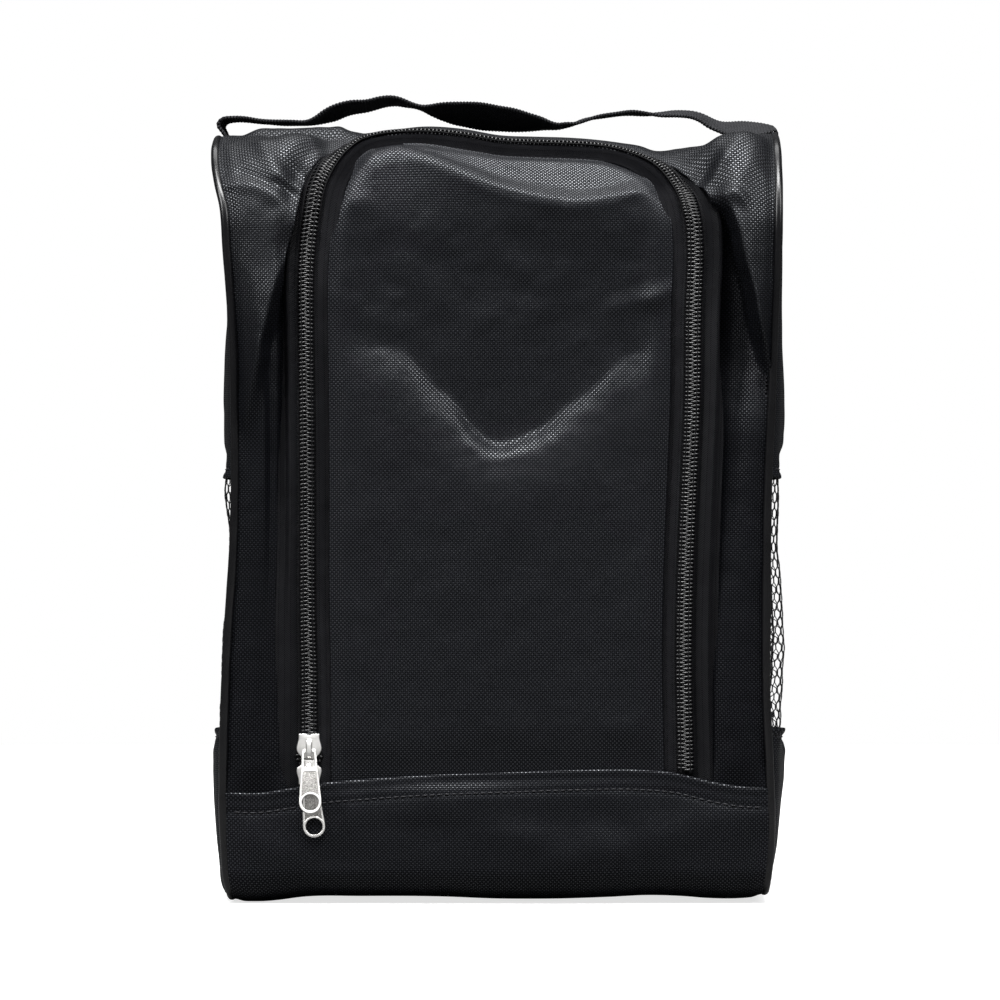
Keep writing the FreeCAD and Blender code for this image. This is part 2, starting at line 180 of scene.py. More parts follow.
def mound(x, run, centre_x, centre_run, radius_x, radius_run, turn):
    cos, sin = math.cos(turn), math.sin(turn)
    across = (x - centre_x) * cos + (run - centre_run) * sin
    along = -(x - centre_x) * sin + (run - centre_run) * cos
    return np.exp(-((across / radius_x) ** 2 + (along / radius_run) ** 2))


def folds(x, run, ridges, mounds):
    """sum of ridges (height, width, points...) and mounds (height, x, run, two radii, turn)"""
    total = np.zeros(x.shape)
    for height, width, *points in ridges:
        total += height * ridge(x, run, points, width)
    for height, *shape in mounds:
        total += height * mound(x, run, *shape)
    return total


# ---------------------------------------------------------------- paths
def trace(first, start, heading, pieces):
    """rows for walk(): each piece is a straight length, then a clockwise quarter bend by radius.

    A row holds its first distance, start point, heading and bend radius (0 if straight).
    """
    rows = []
    (a, b), (head_a, head_b) = start, heading
    for length, radius in pieces:
        rows.append((first, a, b, head_a, head_b, 0))
        first += length
        a, b = a + head_a * length, b + head_b * length
        if radius:
            rows.append((first, a, b, head_a, head_b, radius))
            first += radius * pi / 2
            a, b = a + radius * (head_a + head_b), b + radius * (head_b - head_a)
            head_a, head_b = head_b, -head_a
    return np.array(rows, float)


def walk(rows, distance):
    """point and outward normal, as four arrays, at a distance along a traced path"""
    row = rows[np.maximum(np.searchsorted(rows[:, 0], distance) - 1, 0)]
    first, a, b, head_a, head_b, radius = np.moveaxis(row, -1, 0)
    length = distance - first
    bent = radius > 0
    turn = np.where(bent, length / np.maximum(radius, 1), 0)
    cos, sin = np.cos(turn), np.sin(turn)
    forward = np.where(bent, radius * sin, length)
    inward = radius * (1 - cos)
    return (a + forward * head_a + inward * head_b, b + forward * head_b - inward * head_a,
            sin * head_a - cos * head_b, sin * head_b + cos * head_a)


# (y, z) round the whole case, starting low on the back
WRAP = trace(FOOT_TOP - FOOT_R * pi - UNDER_LENGTH, (HALF_DEPTH, FOOT_TOP), (0, -1),
             [(0, FOOT_R), (UNDER_LENGTH, FOOT_R), (RUN_FRONT_BEND - FOOT_TOP, FRONT_R),
              (TOP_LENGTH, BACK_R), (0, 0)])
# (x, run) up the left leg of the zip, over the top and down the right leg
ZIP_PATH = trace(0, (-ZIP_X, ZIP_FOOT), (0, 1), [(ZIP_LEG, ZIP_R), (ZIP_SPAN, ZIP_R), (ZIP_LEG, 0)])


def back_run(z):
    """run of a height on the back, counted backwards under the foot"""
    return FOOT_TOP - (FOOT_R * pi + UNDER_LENGTH + (z - UNDERSIDE - FOOT_R))


def arch(way, off):
    """(x, run) at a distance along the zip, off outward of its centreline"""
    x, run, normal_x, normal_run = walk(ZIP_PATH, way)
    return x + off * normal_x, run + off * normal_run


def arch_distance(x, run):
    """signed distance from the zip centreline, positive outside the arch"""
    far = np.abs(x)
    corner = np.hypot(far - ZIP_CORNER_X, run - ZIP_CORNER) - ZIP_R
    return np.where(run <= ZIP_CORNER, far - ZIP_X,
                    np.where(far <= ZIP_CORNER_X, run - ZIP_TOP, corner))


# ---------------------------------------------------------------- the slumped cloth surface
# (z, shift in x) of the side seams and the zip legs
SEAM_LEFT = [(0, 0.6), (11, -1.4), (24, -2.3), (90, -2.1), (125, -0.4), (152, 1.5), (187, 2.5),
             (222, 2.4), (244, 2.0), (266, 0.6), (288, -1.0), (310, -2.6), (322, -5.0),
             (332, -6.9), (350, -7.2)]
SEAM_RIGHT = [(0, -2.1), (24, 0.1), (59, -0.3), (90, -1.7), (134, -1.8), (187, -1.1), (222, 0.4),
              (266, 1.9), (284, 2.9), (310, 3.5), (332, 3.7), (350, 3.7)]
ZIP_LEFT = [(0, 0.0), (83, 0.1), (105, 0.0), (121, -0.4), (189, -0.7), (223, -1.0), (250, -1.4),
            (287, -0.9), (302, 0.8), (312, 2.4), (322, 3.4), (331, 2.6), (340, 0.6), (350, 0)]
ZIP_RIGHT = [(0, -2.3), (57, -2.3), (83, -2.8), (105, -3.2), (138, -2.8), (164, -1.9),
             (189, -0.8), (223, 0.5), (262, 1.0), (290, 1.8), (300, 1.2), (310, -0.6),
             (320, -1.8), (332, -2.2), (350, -1)]
# (x, shift in z) of the shoulders, of the cloth on top, and of a band across the top
TOP_DROP = [(-124, -8), (-118, -4), (-110, -2.5), (-100, 0), (-92, 2.6), (-84, 2.0), (-77, -1),
            (-70, -0.5), (-62, 1.6), (-55, 2.5), (-48, 3), (-35, 3.3), (-14, 1.5), (0, -0.7),
            (16, -1.7), (33, -2.4), (42, -3), (55, -4.5), (67, -6), (78, -6.5), (85, -6),
            (92, -3), (97, 1), (110, 1), (118, -2), (124, -5)]
TOP_FLAT = [(-124, -1), (-114, -2.2), (-109, -2.9), (-104, -3.4), (-98, -6.8), (-93, -8.6),
            (-85, -8.0), (-77, -5.6), (-72, -3.8), (-67, -4.0), (-61, -4.8), (-51, -4.4),
            (-46, -4.2), (-35, -3.2), (-19, -2.7), (0, -3.0), (20, -2.6), (33, -2.5),
            (44, -2.6), (55, -2.6), (65, -3.2), (70, -5), (76, -5.3), (81, -4.8), (86, -4.8),
            (92, -6.5), (98, -8.0), (106, -7.5), (112, -5.0), (118, -2.5), (124, -1.5)]
TOP_TUCK = [(-110, 0), (-104, 2.2), (-98, 4.0), (-92, 4.0), (-85, 4.0), (-77, 5.2), (-72, 4.0),
            (-67, 1.6), (-61, 0)]
# (x, lift) of the foot off the ground
FOOT_LIFT = [(-124, 0.5), (-118, 0.2), (-105, 0.0), (-98, 0.6), (-88, 1.9), (-60, 2.3),
             (-25, 2.1), (0, 1.2), (28, 1.2), (50, 1.9), (68, 2.7), (84, 2.2), (94, 1.4),
             (110, 1.4), (116, 2.0), (124, 3.2)]
# (x, run) of the upper edge of the base band
HEM = [(-124, 49.0), (-120, 49.0), (-104, 48.6), (-92, 50.5), (-80, 52.6), (-58, 54.6),
       (-28, 56.6), (2, 57.6), (34, 58.6), (62, 58.8), (80, 57.2), (96, 53.2), (108, 51.2),
       (120, 51.0), (124, 51.0)]


def hem(x):
    return curve(x, HEM)


def wrap_shift(x, z, run):
    """sideways and upward set of the soft shell: wandering seams and a slumped top"""
    height = np.clip(z, 0, 350)
    shifts = np.stack([curve(height, line) for line in (SEAM_LEFT, ZIP_LEFT, ZIP_RIGHT, SEAM_RIGHT)])
    places = np.array([-PIPE_X, -ZIP_X, ZIP_X, PIPE_X])
    inside = np.clip(x, places[0], places[-1])
    k = np.clip(np.searchsorted(places, inside) - 1, 0, 2)
    part = (inside - places[k]) / (places[k + 1] - places[k])
    each = np.arange(len(x))
    shift_x = shifts[k, each] * (1 - part) + shifts[k + 1, each] * part

    reach = np.where(run > RUN_FRONT_BEND, np.maximum(z, np.minimum(run, 400)), z)
    shift_z = curve(x, TOP_DROP) * ramp(298, 330, reach)
    shift_z -= 1.5 * ramp(326, 346, run) * fall(60, 82, np.abs(x))
    shift_z += curve(x, TOP_FLAT) * ramp(338, 366, run)
    shift_z += curve(x, TOP_TUCK) * ramp(357.5, 362.5, run) * fall(372, 396, run)
    shift_z *= 0.25 + 0.75 * fall(RUN_BACK_BEND - 10, RUN_BACK + 60, run)
    sag = -3.2 * (1 - (np.clip(np.abs(x), 0, 117) / 117.0) ** 2)
    sag = sag * arc_sine((run - RUN_TOP) / (RUN_BACK - RUN_TOP))
    return shift_x, shift_z + sag


def foot_lift(x, y, z):
    """the foot does not sit dead flat, least of all at the front"""
    return curve(x, FOOT_LIFT) * fall(2, 30, z) * (0.35 + 0.65 * fall(-20, 30, y))


def on_cloth(x, run, out=0.0):
    """3-D points from width x, distance along the wrap and distance out from the CAD face"""
    x, run, out = np.broadcast_arrays(*(np.asarray(part, float) for part in (x, run, out)))
    shape = x.shape
    x, run, out = x.ravel(), run.ravel(), out.ravel()
    y, z, normal_y, normal_z = walk(WRAP, run)
    shift_x, shift_z = wrap_shift(x, z, run)
    points = np.stack([x + shift_x, y + normal_y * out, z + normal_z * out + shift_z], 1)
    points[:, 2] += foot_lift(x, points[:, 1], z)
    points[:, 2] = np.maximum(points[:, 2], 0.02)
    return points.reshape(shape + (3,))


# ---------------------------------------------------------------- mesh helpers
NO_TRIS = np.zeros((0, 3), int)


def unit(vectors):
    return vectors / np.maximum(np.linalg.norm(vectors, axis=-1, keepdims=True), 1e-9)


def make_mesh(name, verts, face_groups, uv, mat):
    """object from points in mm and a list of arrays of equal-length faces"""
    verts = np.asarray(verts, np.float64).reshape(-1, 3) * MM
    groups = [np.asarray(group, np.int32) for group in face_groups if len(group)]
    loops = np.concatenate([group.ravel() for group in groups])
    totals = np.concatenate([np.full(len(group), group.shape[1], np.int32) for group in groups])
    starts = np.concatenate([[0], np.cumsum(totals)[:-1]]).astype(np.int32)
    mesh = bpy.data.meshes.new(name)
    mesh.vertices.add(len(verts))
    mesh.vertices.foreach_set("co", verts.astype(np.float32).ravel())
    mesh.loops.add(len(loops))
    mesh.loops.foreach_set("vertex_index", loops)
    mesh.polygons.add(len(totals))
    mesh.polygons.foreach_set("loop_start", starts)
    mesh.polygons.foreach_set("loop_total", totals)
    mesh.polygons.foreach_set("use_smooth", np.full(len(totals), True))
    if uv is not None:
        layer = mesh.uv_layers.new(name="UVMap")
        layer.data.foreach_set("uv", np.asarray(uv, np.float32).reshape(-1, 2)[loops].ravel())
    mesh.update(calc_edges=True)
    mesh.validate()
    ob = bpy.data.objects.new(name, mesh)
    bpy.context.scene.collection.objects.link(ob)
    mesh.materials.append(mat)
    return ob


def fix_normals(ob):
    bm = bmesh.new()
    bm.from_mesh(ob.data)
    bmesh.ops.recalc_face_normals(bm, faces=bm.faces)
    bm.to_mesh(ob.data)
    bm.free()
    ob.data.update()


def grid_faces(rows, cols, wrap_rows=False, wrap_cols=False):
    """quads over a row-major grid of points"""
    i, j = np.meshgrid(np.arange(rows - (not wrap_rows)), np.arange(cols - (not wrap_cols)),
                       indexing="ij")
    i_next, j_next = (i + 1) % rows, (j + 1) % cols
    corners = [i * cols + j, i * cols + j_next, i_next * cols + j_next, i_next * cols + j]
    return np.stack(corners, -1).reshape(-1, 4)


def boundary_loop(rows, cols):
    top = [(0, j) for j in range(cols)]
    right = [(i, cols - 1) for i in range(1, rows)]
    bottom = [(rows - 1, j) for j in range(cols - 2, -1, -1)]
    left = [(i, 0) for i in range(rows - 2, 0, -1)]
    return np.array(top + right + bottom + left).T


RIM_BULGE = 0.45        # how far a rim stands out, as a share of the sheet's thickness
# share of the way from outer to inner face, share of the bulge, UV step
RIM_RINGS = [(0.2, 0.72, 0.3), (0.5, 1.0, 0.6), (0.8, 0.72, 0.9)]


def sheet(name, outer, inner, uv_across, uv_along, mat):
    """closed thin sheet from an outer and an inner grid of points, with a rounded rim"""
    rows, cols = outer.shape[:2]
    i, j = boundary_loop(rows, cols)
    inside = (np.clip(i, 1, rows - 2), np.clip(j, 1, cols - 2))
    uv = np.stack([uv_across, uv_along], -1)
    edge_outer, edge_inner, edge_uv = outer[i, j], inner[i, j], uv[i, j]
    bulge = (unit(edge_outer - outer[inside]) * RIM_BULGE
             * np.linalg.norm(edge_outer - edge_inner, axis=1, keepdims=True))
    uv_out = unit(edge_uv - uv[inside])

    verts = [outer.reshape(-1, 3), inner.reshape(-1, 3)]
    uvs = [uv.reshape(-1, 2)] * 2
    for share, stand, uv_step in RIM_RINGS:
        verts.append(edge_outer * (1 - share) + edge_inner * share + bulge * stand)
        uvs.append(edge_uv + uv_out * uv_step)

    size, length = rows * cols, len(i)
    edge = i * cols + j
    quads = grid_faces(rows, cols)
    faces = [quads[:, [0, 3, 2, 1]], size + quads[:, [1, 2, 3, 0]]]
    rings = [edge] + [2 * size + k * length + np.arange(length) for k in range(3)] + [size + edge]
    for ring, beside in zip(rings, rings[1:]):
        faces.append(np.stack([ring, beside, np.roll(beside, -1), np.roll(ring, -1)], 1))
    ob = make_mesh(name, np.concatenate(verts), [np.concatenate(faces)], np.concatenate(uvs), mat)
    fix_normals(ob)
    return ob


def tube(points, radius, sides, closed=False, up=(0, 0, 1)):
    """verts, quads, cap triangles and UVs of a tube; radius is one number or one per point"""
    points = np.asarray(points, float)
    count = len(points)
    if closed:
        ahead = np.roll(points, -1, 0) - np.roll(points, 1, 0)
    else:
        ahead = np.gradient(points, axis=0)
    ahead = unit(ahead)
    first_side = np.array(up, float)
    if abs(ahead[0] @ first_side) > 0.9:
        first_side = np.array([1.0, 0, 0])
    side = np.zeros_like(points)
    side[0] = unit(first_side - ahead[0] * (ahead[0] @ first_side))
    for i in range(1, count):
        side[i] = unit(side[i - 1] - ahead[i] * (ahead[i] @ side[i - 1]))
    if closed:
        # spread the leftover turn round the loop
        last = unit(side[-1] - ahead[0] * (ahead[0] @ side[-1]))
        leftover = math.atan2(np.cross(last, side[0]) @ ahead[0], last @ side[0])
        turn = (leftover * np.arange(count) / count)[:, None]
        side = side * np.cos(turn) + np.cross(ahead, side) * np.sin(turn)
    other = np.cross(ahead, side)
    radius = np.broadcast_to(np.asarray(radius, float), (count,))
    angle = 2 * pi * np.arange(sides) / sides
    cos, sin = np.cos(angle)[None, :, None], np.sin(angle)[None, :, None]
    ring = cos * side[:, None, :] + sin * other[:, None, :]
    verts = (points[:, None, :] + radius[:, None, None] * ring).reshape(-1, 3)
    quads = grid_faces(count, sides, wrap_rows=closed, wrap_cols=True)
    steps = np.linalg.norm(np.diff(points, axis=0), axis=1)
    along = np.concatenate([[0], np.cumsum(steps)])
    uvs = np.stack([np.repeat(along, sides), np.tile(angle, count) * np.repeat(radius, sides)], 1)
    if closed:
        return verts, quads, NO_TRIS, uvs

    tip = len(verts)
    verts = np.concatenate([verts, [points[0] - ahead[0] * radius[0] * 0.45],
                            [points[-1] + ahead[-1] * radius[-1] * 0.45]])
    uvs = np.concatenate([uvs, uvs[:1], uvs[-1:]])
    j = np.arange(sides)
    j_next = (j + 1) % sides
    end = (count - 1) * sides
    tris = np.concatenate([np.stack([np.full(sides, tip), j_next, j], 1),
                           np.stack([np.full(sides, tip + 1), end + j, end + j_next], 1)])
    return verts, quads, tris, uvs


class Batch:
    """many small closed pieces in one mesh"""

    def __init__(self):
        self.verts, self.quads, self.tris, self.uvs = [], [], [], []
        self.count = 0

    def add(self, verts, quads, tris, uvs):
        self.verts.append(verts)
        self.quads.append(quads + self.count)
        self.tris.append(tris + self.count)
        self.uvs.append(uvs)
        self.count += len(verts)

    def add_tube(self, *args, **options):
        self.add(*tube(*args, **options))

    def build(self, name, mat):
        faces = [np.concatenate(self.quads), np.concatenate(self.tris)]
        return make_mesh(name, np.concatenate(self.verts), faces, np.concatenate(self.uvs), mat)


# ---------------------------------------------------------------- shader graph helpers
def math_pair(operation):
    """the plain and the reflected Python operator for a Math node"""
    return (lambda self, other: self.graph.math(operation, self, other),
            lambda self, other: self.graph.math(operation, other, self))


class Value:
    """an output socket; arithmetic on it adds Math nodes"""

    def __init__(self, graph, socket):
        self.graph, self.socket = graph, socket

    __add__, __radd__ = math_pair("ADD")
    __sub__, __rsub__ = math_pair("SUBTRACT")
    __mul__, __rmul__ = math_pair("MULTIPLY")
    __truediv__, __rtruediv__ = math_pair("DIVIDE")
    __mod__, __rmod__ = math_pair("MODULO")
    __pow__, __rpow__ = math_pair("POWER")

    def __abs__(self):
        return self.graph.math("ABSOLUTE", self)

    def cos(self):
        return self.graph.math("COSINE", self)

    def sin(self):
        return self.graph.math("SINE", self)

    def clamp(self):
        """turn on the clamp of the Math node this value comes from"""
        self.socket.node.use_clamp = True
        return self


class Graph:
    """a material's node tree, ending in its Principled BSDF"""

    def __init__(self, name):
        self.material = bpy.data.materials.new(name)
        self.material.use_nodes = True
        self.tree = self.material.node_tree

    def put(self, socket, value):
        if isinstance(value, Value):
            self.tree.links.new(value.socket, socket)
        else:
            socket.default_value = value

    def node(self, kind, inputs, output=0, **settings):
        node = self.tree.nodes.new(kind)
        for key, value in settings.items():
            setattr(node, key, value)
        for key, value in inputs.items():
            self.put(node.inputs[key], value)
        return Value(self, node.outputs[output])

    def math(self, operation, first, second=0.0):
        return self.node("ShaderNodeMath", {0: first, 1: second}, operation=operation)

    def mix(self, factor, low, high):
        return self.node("ShaderNodeMix", {0: factor, 2: low, 3: high}, data_type="FLOAT")

    def mix_colour(self, factor, low, high):
        inputs = {0: factor, 6: (*low, 1.0), 7: (*high, 1.0)}
        return self.node("ShaderNodeMix", inputs, 2, data_type="RGBA")

    def coordinates(self, kind):
        return self.node("ShaderNodeTexCoord", {}, kind)

    def split_uv(self):
        """across, along and the whole UV vector"""
        uv = self.coordinates("UV")
        node = self.node("ShaderNodeSeparateXYZ", {0: uv}).socket.node
        return Value(self, node.outputs[0]), Value(self, node.outputs[1]), uv

    def noise(self, vector, scale, detail=3.0, rough=0.55):
        inputs = {"Vector": vector, "Scale": scale, "Detail": detail, "Roughness": rough}
        return self.node("ShaderNodeTexNoise", inputs, "Fac")

    def bump(self, height, distance, strength):
        inputs = {"Strength": strength, "Distance": distance, "Height": height}
        return self.node("ShaderNodeBump", inputs)

    def tilted_normal(self, across, along):
        """tangent-space normal leaning by two shader values"""
        colour = self.node("ShaderNodeCombineColor", {0: 0.5 + across, 1: 0.5 + along, 2: 1.0})
        return self.node("ShaderNodeNormalMap", {"Color": colour})

    def finish(self, **inputs):
        """set the Principled inputs, named with underscores for spaces"""
        surface = self.tree.nodes["Principled BSDF"]
        for key, value in inputs.items():
            self.put(surface.inputs[key.replace("_", " ")], value)
        return self.material


# ---------------------------------------------------------------- materials
YARN_PITCH = 0.93
YARN_TILT = (0.46, 0.30)        # normal lean across and along a float


def weave_material(name, dark=(0.0013, 0.0015, 0.0022), light=(0.0078, 0.0085, 0.0125),
                   specular=1.0, shade_by_height=None):
    """plain weave: warp and weft floats in a chequer, each a rounded yarn with its own normal.

    The last argument, (first height, full height, share of the shine below), turns the shine down on
    the cloth's lower part: a painted shade.
    """
    graph = Graph(name)
    across, along, uv = graph.split_uv()
    wander = graph.noise(uv, scale=0.11, detail=2.0)
    across = across + (wander - 0.5) * 0.5
    warp_at, weft_at = across / YARN_PITCH, along / YARN_PITCH
    warp_index, weft_index = graph.math("FLOOR", warp_at), graph.math("FLOOR", weft_at)
    warp_part = warp_at - warp_index - 0.5
    weft_part = weft_at - weft_index - 0.5
    weft_on_top = abs(warp_index + weft_index) % 2.0
    warp_cos, weft_cos = (warp_part * pi).cos(), (weft_part * pi).cos()
    warp_sin, weft_sin = (warp_part * pi).sin(), (weft_part * pi).sin()
    warp = warp_cos ** 0.7 * (0.45 + weft_cos * 0.55)
    weft = weft_cos ** 0.7 * (0.45 + warp_cos * 0.55)
    height = graph.mix(weft_on_top, warp * 0.80, weft)
    patches = graph.noise(uv, scale=0.035, detail=4.0)
    filaments = (graph.mix(weft_on_top, warp_at, weft_at) * (2 * pi * 5)).sin()
    # the tone paints light into the colour: yarn tops lighter and the gaps between them darker, a
    # painted shade, and weft floats lighter than warp floats, a painted sheen
    tone = height ** 2.2 * graph.mix(weft_on_top, 0.42, 1.1)
    tone = (tone * (0.72 + patches * 0.56)).clamp()

    def flatten(slope):
        return slope * (0.25 + slope * slope * 0.75)

    wide, narrow = YARN_TILT
    lean_across = flatten(warp_sin) * graph.mix(weft_on_top, wide, narrow)
    lean_along = flatten(weft_sin) * graph.mix(weft_on_top, narrow, wide) + filaments * 0.06
    shine = tone ** 0.8 * specular
    # painted shade: below the first height the shine is turned down, so the lower part looks darker
    if shade_by_height:
        start, end, below = shade_by_height
        height_part = ((along - start) * (1.0 / (end - start))).clamp()
        shine = shine * graph.mix(height_part, below, 1.0)
    return graph.finish(
        Base_Color=graph.mix_colour(tone, dark, light), Roughness=graph.mix(tone, 0.60, 0.24),
        Normal=graph.tilted_normal(lean_across * 0.5, lean_along * 0.5),
        Specular_IOR_Level=shine, Specular_Tint=(0.92, 0.95, 1.0, 1.0))


TWILL_DARK = (0.0007, 0.0007, 0.0010)
TWILL_RISE = 1.5        # slope of the twill lines
TWILL_SHIFT = 0.35      # first column's overlap with the centreline


def herringbone_material(name, column=2.7, pitch=0.95, light=(0.0300, 0.0305, 0.0360), painted_shade=None):
    """twill that changes hand at every column; the last argument, (start, end, share of tone left),
    darkens the tone between two lengths along the tape, a painted shade
    """
    graph = Graph(name)
    across, along, uv = graph.split_uv()
    columns = (abs(across) + TWILL_SHIFT) / column
    pair = columns % 2.0
    zigzag = abs(pair - 1.0)
    hand = graph.math("SIGN", pair - 1.0)
    phase = (along / pitch + zigzag * (column * TWILL_RISE / pitch)) * (2 * pi)
    height = phase.cos() * 0.5 + 0.5
    slope = phase.sin() * 1.1
    patches = graph.noise(uv, scale=0.09)
    seam = abs((columns + 0.5) % 1.0 - 0.5)
    groove = (1.0 - seam * 14.0).clamp() * 0.6
    tone = (height ** 2.0 * (0.6 + patches * 0.7)).clamp()
    tone = tone * (1.0 - groove)
    # painted shade: the tone falls off between start and end along the tape
    if painted_shade:
        start, end, left_over = painted_shade
        inside = ((along - start) / 40.0).clamp() * ((end - along) / 40.0).clamp()
        tone = tone * (1.0 - inside * (1.0 - left_over))
    return graph.finish(
        Base_Color=graph.mix_colour(tone, TWILL_DARK, light),
        Roughness=graph.mix(tone, 0.75, 0.5),
        Normal=graph.tilted_normal(slope * hand * 0.34, slope * 0.30),
        Specular_IOR_Level=tone * 0.3)


def webbing_material(name, yarn_pitch=1.30, rib_pitch=0.80):
    """heavy ribbed webbing whose yarns zigzag across its width"""
    graph = Graph(name)
    across, along, uv = graph.split_uv()
    zigzag = abs((abs(across) + 0.4) % 5.0 - 2.5)
    phase = along / yarn_pitch + zigzag * 0.62
    yarn, yarn_slope = (phase * (2 * pi)).cos(), (phase * (2 * pi)).sin()
    rib = (across / rib_pitch * (2 * pi)).cos()
    rib_slope = (across / rib_pitch * (2 * pi)).sin()
    height = (yarn + 1.0) * 0.32 + (rib + 1.0) * 0.18
    patches = graph.noise(uv, scale=0.08)
    tone = (height ** 1.5 * (0.6 + patches * 0.8)).clamp()
    return graph.finish(
        Base_Color=graph.mix_colour(tone, (0.0075, 0.0075, 0.0082), (0.0480, 0.0488, 0.0525)),
        Roughness=graph.mix(tone, 0.8, 0.55),
        Normal=graph.tilted_normal(rib_slope * 0.16, yarn_slope * 0.30),
        Specular_IOR_Level=tone * 0.08)


def plain_material(name, colour, rough, specular, scale, vary=0.25, bump=0.00005):
    """one colour with patchy variation and a fine bump"""
    graph = Graph(name)
    place = graph.coordinates("Object")
    grain = graph.noise(place, scale * 20, detail=4.0)
    patches = graph.noise(place, scale)
    dark = [part * (1 - vary) for part in colour]
    light = [part * (1 + vary * 2) for part in colour]
    return graph.finish(
        Base_Color=graph.mix_colour(patches, dark, light),
        Roughness=graph.mix(patches, rough - 0.08, rough + 0.1),
        Normal=graph.bump(grain, bump, strength=0.6), Specular_IOR_Level=specular)


def nickel_material(name, sanded):
    graph = Graph(name)
    place = graph.coordinates("Object")
    grain = graph.noise(place, 2400.0 if sanded else 4000.0, rough=0.7)
    pointiness = graph.node("ShaderNodeNewGeometry", {}, "Pointiness")
    edge = ((pointiness - 0.5) * 3.0).clamp()
    if sanded:
        speckle = ((grain - 0.36) * 3.4).clamp()
        colour = graph.mix_colour(speckle, (0.11, 0.107, 0.102), (0.54, 0.527, 0.505))
        rough = graph.mix(grain, 0.30, 0.5)
        normal = graph.bump(grain, 0.00022, strength=1.0)
    else:
        wear = graph.noise(place, 420.0, detail=4.0)
        colour = graph.mix_colour(wear, (0.70, 0.69, 0.67), (0.86, 0.85, 0.83))
        rough = graph.mix(wear, 0.24, 0.38)
        normal = graph.bump(grain, 0.00001, strength=0.4)
    return graph.finish(Base_Color=colour, Roughness=rough - edge * 0.08, Normal=normal,
                        Metallic=1.0)


CLOTH = weave_material("fabric_basket")
CLOTH_BAND = weave_material("fabric_basket_band", specular=0.85)
CLOTH_SIDE = weave_material("fabric_side")
# the surround is a darker copy of the same cloth, a painted shade; its shine is also halved below a
# run of 205 mm and comes back in full by 285 mm, more painted shade
CLOTH_SURROUND_SHADED = weave_material(
    "fabric_surround", dark=(0.0010, 0.0011, 0.0016), light=(0.0044, 0.0050, 0.0080),
    specular=1.1, shade_by_height=(205.0, 285.0, 0.5))
# both zip tapes carry a painted shade along the top of the arch, from 240 to 500 mm along the zip,
# in place of a real shadow
TAPE_INNER = herringbone_material("zip_tape_herringbone", light=(0.0330, 0.0335, 0.0390),
                                  painted_shade=(240.0, 500.0, 0.22))
# the outer tape is a darker copy of the same tape, a painted shade
TAPE_OUTER_SHADED = herringbone_material("zip_tape_herringbone_outer", light=(0.0145, 0.0150, 0.0182),
                                  painted_shade=(240.0, 500.0, 0.35))
BINDING = herringbone_material("binding_tape", column=3.0, pitch=0.9)
WEBBING = webbing_material("strap_webbing")
NET_YARN = plain_material("net_yarn", (0.007, 0.007, 0.008), rough=0.6, specular=0.35,
                          scale=80.0, bump=0.0001)
PIPING = plain_material("piping_vinyl", (0.0028, 0.0028, 0.0034), rough=0.26, specular=0.5,
                        scale=30.0, vary=0.3, bump=0.00002)
COIL = plain_material("coil_nylon", (0.0030, 0.0030, 0.0036), rough=0.22, specular=0.68,
                      scale=90.0, vary=0.2, bump=0.00002)
COIL_THREAD = plain_material("coil_thread", (0.0022, 0.0022, 0.0028), rough=0.7, specular=0.15,
                             scale=150.0)
THREAD = plain_material("thread", (0.014, 0.014, 0.017), rough=0.55, specular=0.4,
                        scale=150.0, bump=0.00008)
NICKEL = nickel_material("nickel_bright", sanded=False)
NICKEL_SANDED = nickel_material("nickel_sand", sanded=True)

# ---------------------------------------------------------------- front surround
# (way, offset) of the surround's turned edge from the zip centreline
SURROUND_EDGE = [(0, 9.6), (120, 9.8), (225, 10.2), (243, 9.0), (252, 7.0), (263, 6.0),
                 (300, 5.6), (330, 6.2), (371, 6.6), (413, 6.2), (440, 6.6), (470, 8.0),
                 (486, 9.8), (540, 10.8), (640, 11.2), (742, 11.0)]
# fold beside each zip leg: (run, x) of its crest and (run, height)
FOLD_LEFT = [(196, -114.5), (222, -111.5), (246, -106.5), (262, -102.0), (280, -95.6),
             (296, -89.6), (312, -85.2), (330, -82.8)]
FOLD_LEFT_HEIGHT = [(190, 0), (206, 0.8), (222, 4.6), (240, 8.6), (254, 9.3), (268, 8.5),
                    (282, 6.6), (296, 4.2), (306, 1.8), (316, 0), (330, 0)]
FOLD_RIGHT = [(228, 121), (240, 118.0), (253, 114.0), (269, 110.5), (281.5, 107.0),
              (297, 103.2), (307.6, 99.8), (316, 95), (330, 91)]
FOLD_RIGHT_HEIGHT = [(228, 0), (244, 4.0), (257, 8.4), (268, 8.6), (284, 6.6), (300, 4.2),
                     (308, 2.7), (316, 1.1), (324, 0)]
# (run, depth) of the hollow between fold and zip
TRENCH_LEFT = [(60, 0), (120, 1.2), (200, 4.6), (250, 4.6), (290, 3.6), (300, 3.6)]
TRENCH_RIGHT = [(60, 0), (120, 2.0), (190, 6.0), (240, 6.0), (270, 3.0), (290, 0), (310, 0)]
# (x, run) of the upper end of the right-hand pocket
POCKET_ROOF = [(84, 315.0), (86, 314.6), (92, 311.5), (96, 308.6), (102, 307.8), (110, 306)]
# small folds at the zip's corners, and one along the crown: height, width, (x, run) points
SURROUND_RIDGES = [
    (1.7, 3.2, (-103, 341), (-101, 331), (-98, 321), (-87, 312)),
    (1.5, 3.4, (-117, 321), (-106, 316), (-94, 307), (-87, 302)),
    (-0.9, 2.4, (-110, 326), (-103, 319), (-92, 313)),
    (1.2, 3.5, (-95, 303), (-92, 300)),
    (1.7, 3.6, (84, 318), (93, 321), (101, 331), (108, 346)),
    (1.0, 4.5, (104, 318), (108, 326), (112, 340)),
    (0.9, 6.0, (112, 350), (109, 325)),
    (1.0, 7.0, (-60, 372), (-30, 366), (10, 364), (45, 371)),
]
# height, x, run, radius in x, radius in run, turn
SURROUND_MOUNDS = [(-1.7, -91.5, 323, 4.5, 7, 0.5), (-1.6, 90, 328, 4.5, 8, -0.5)]


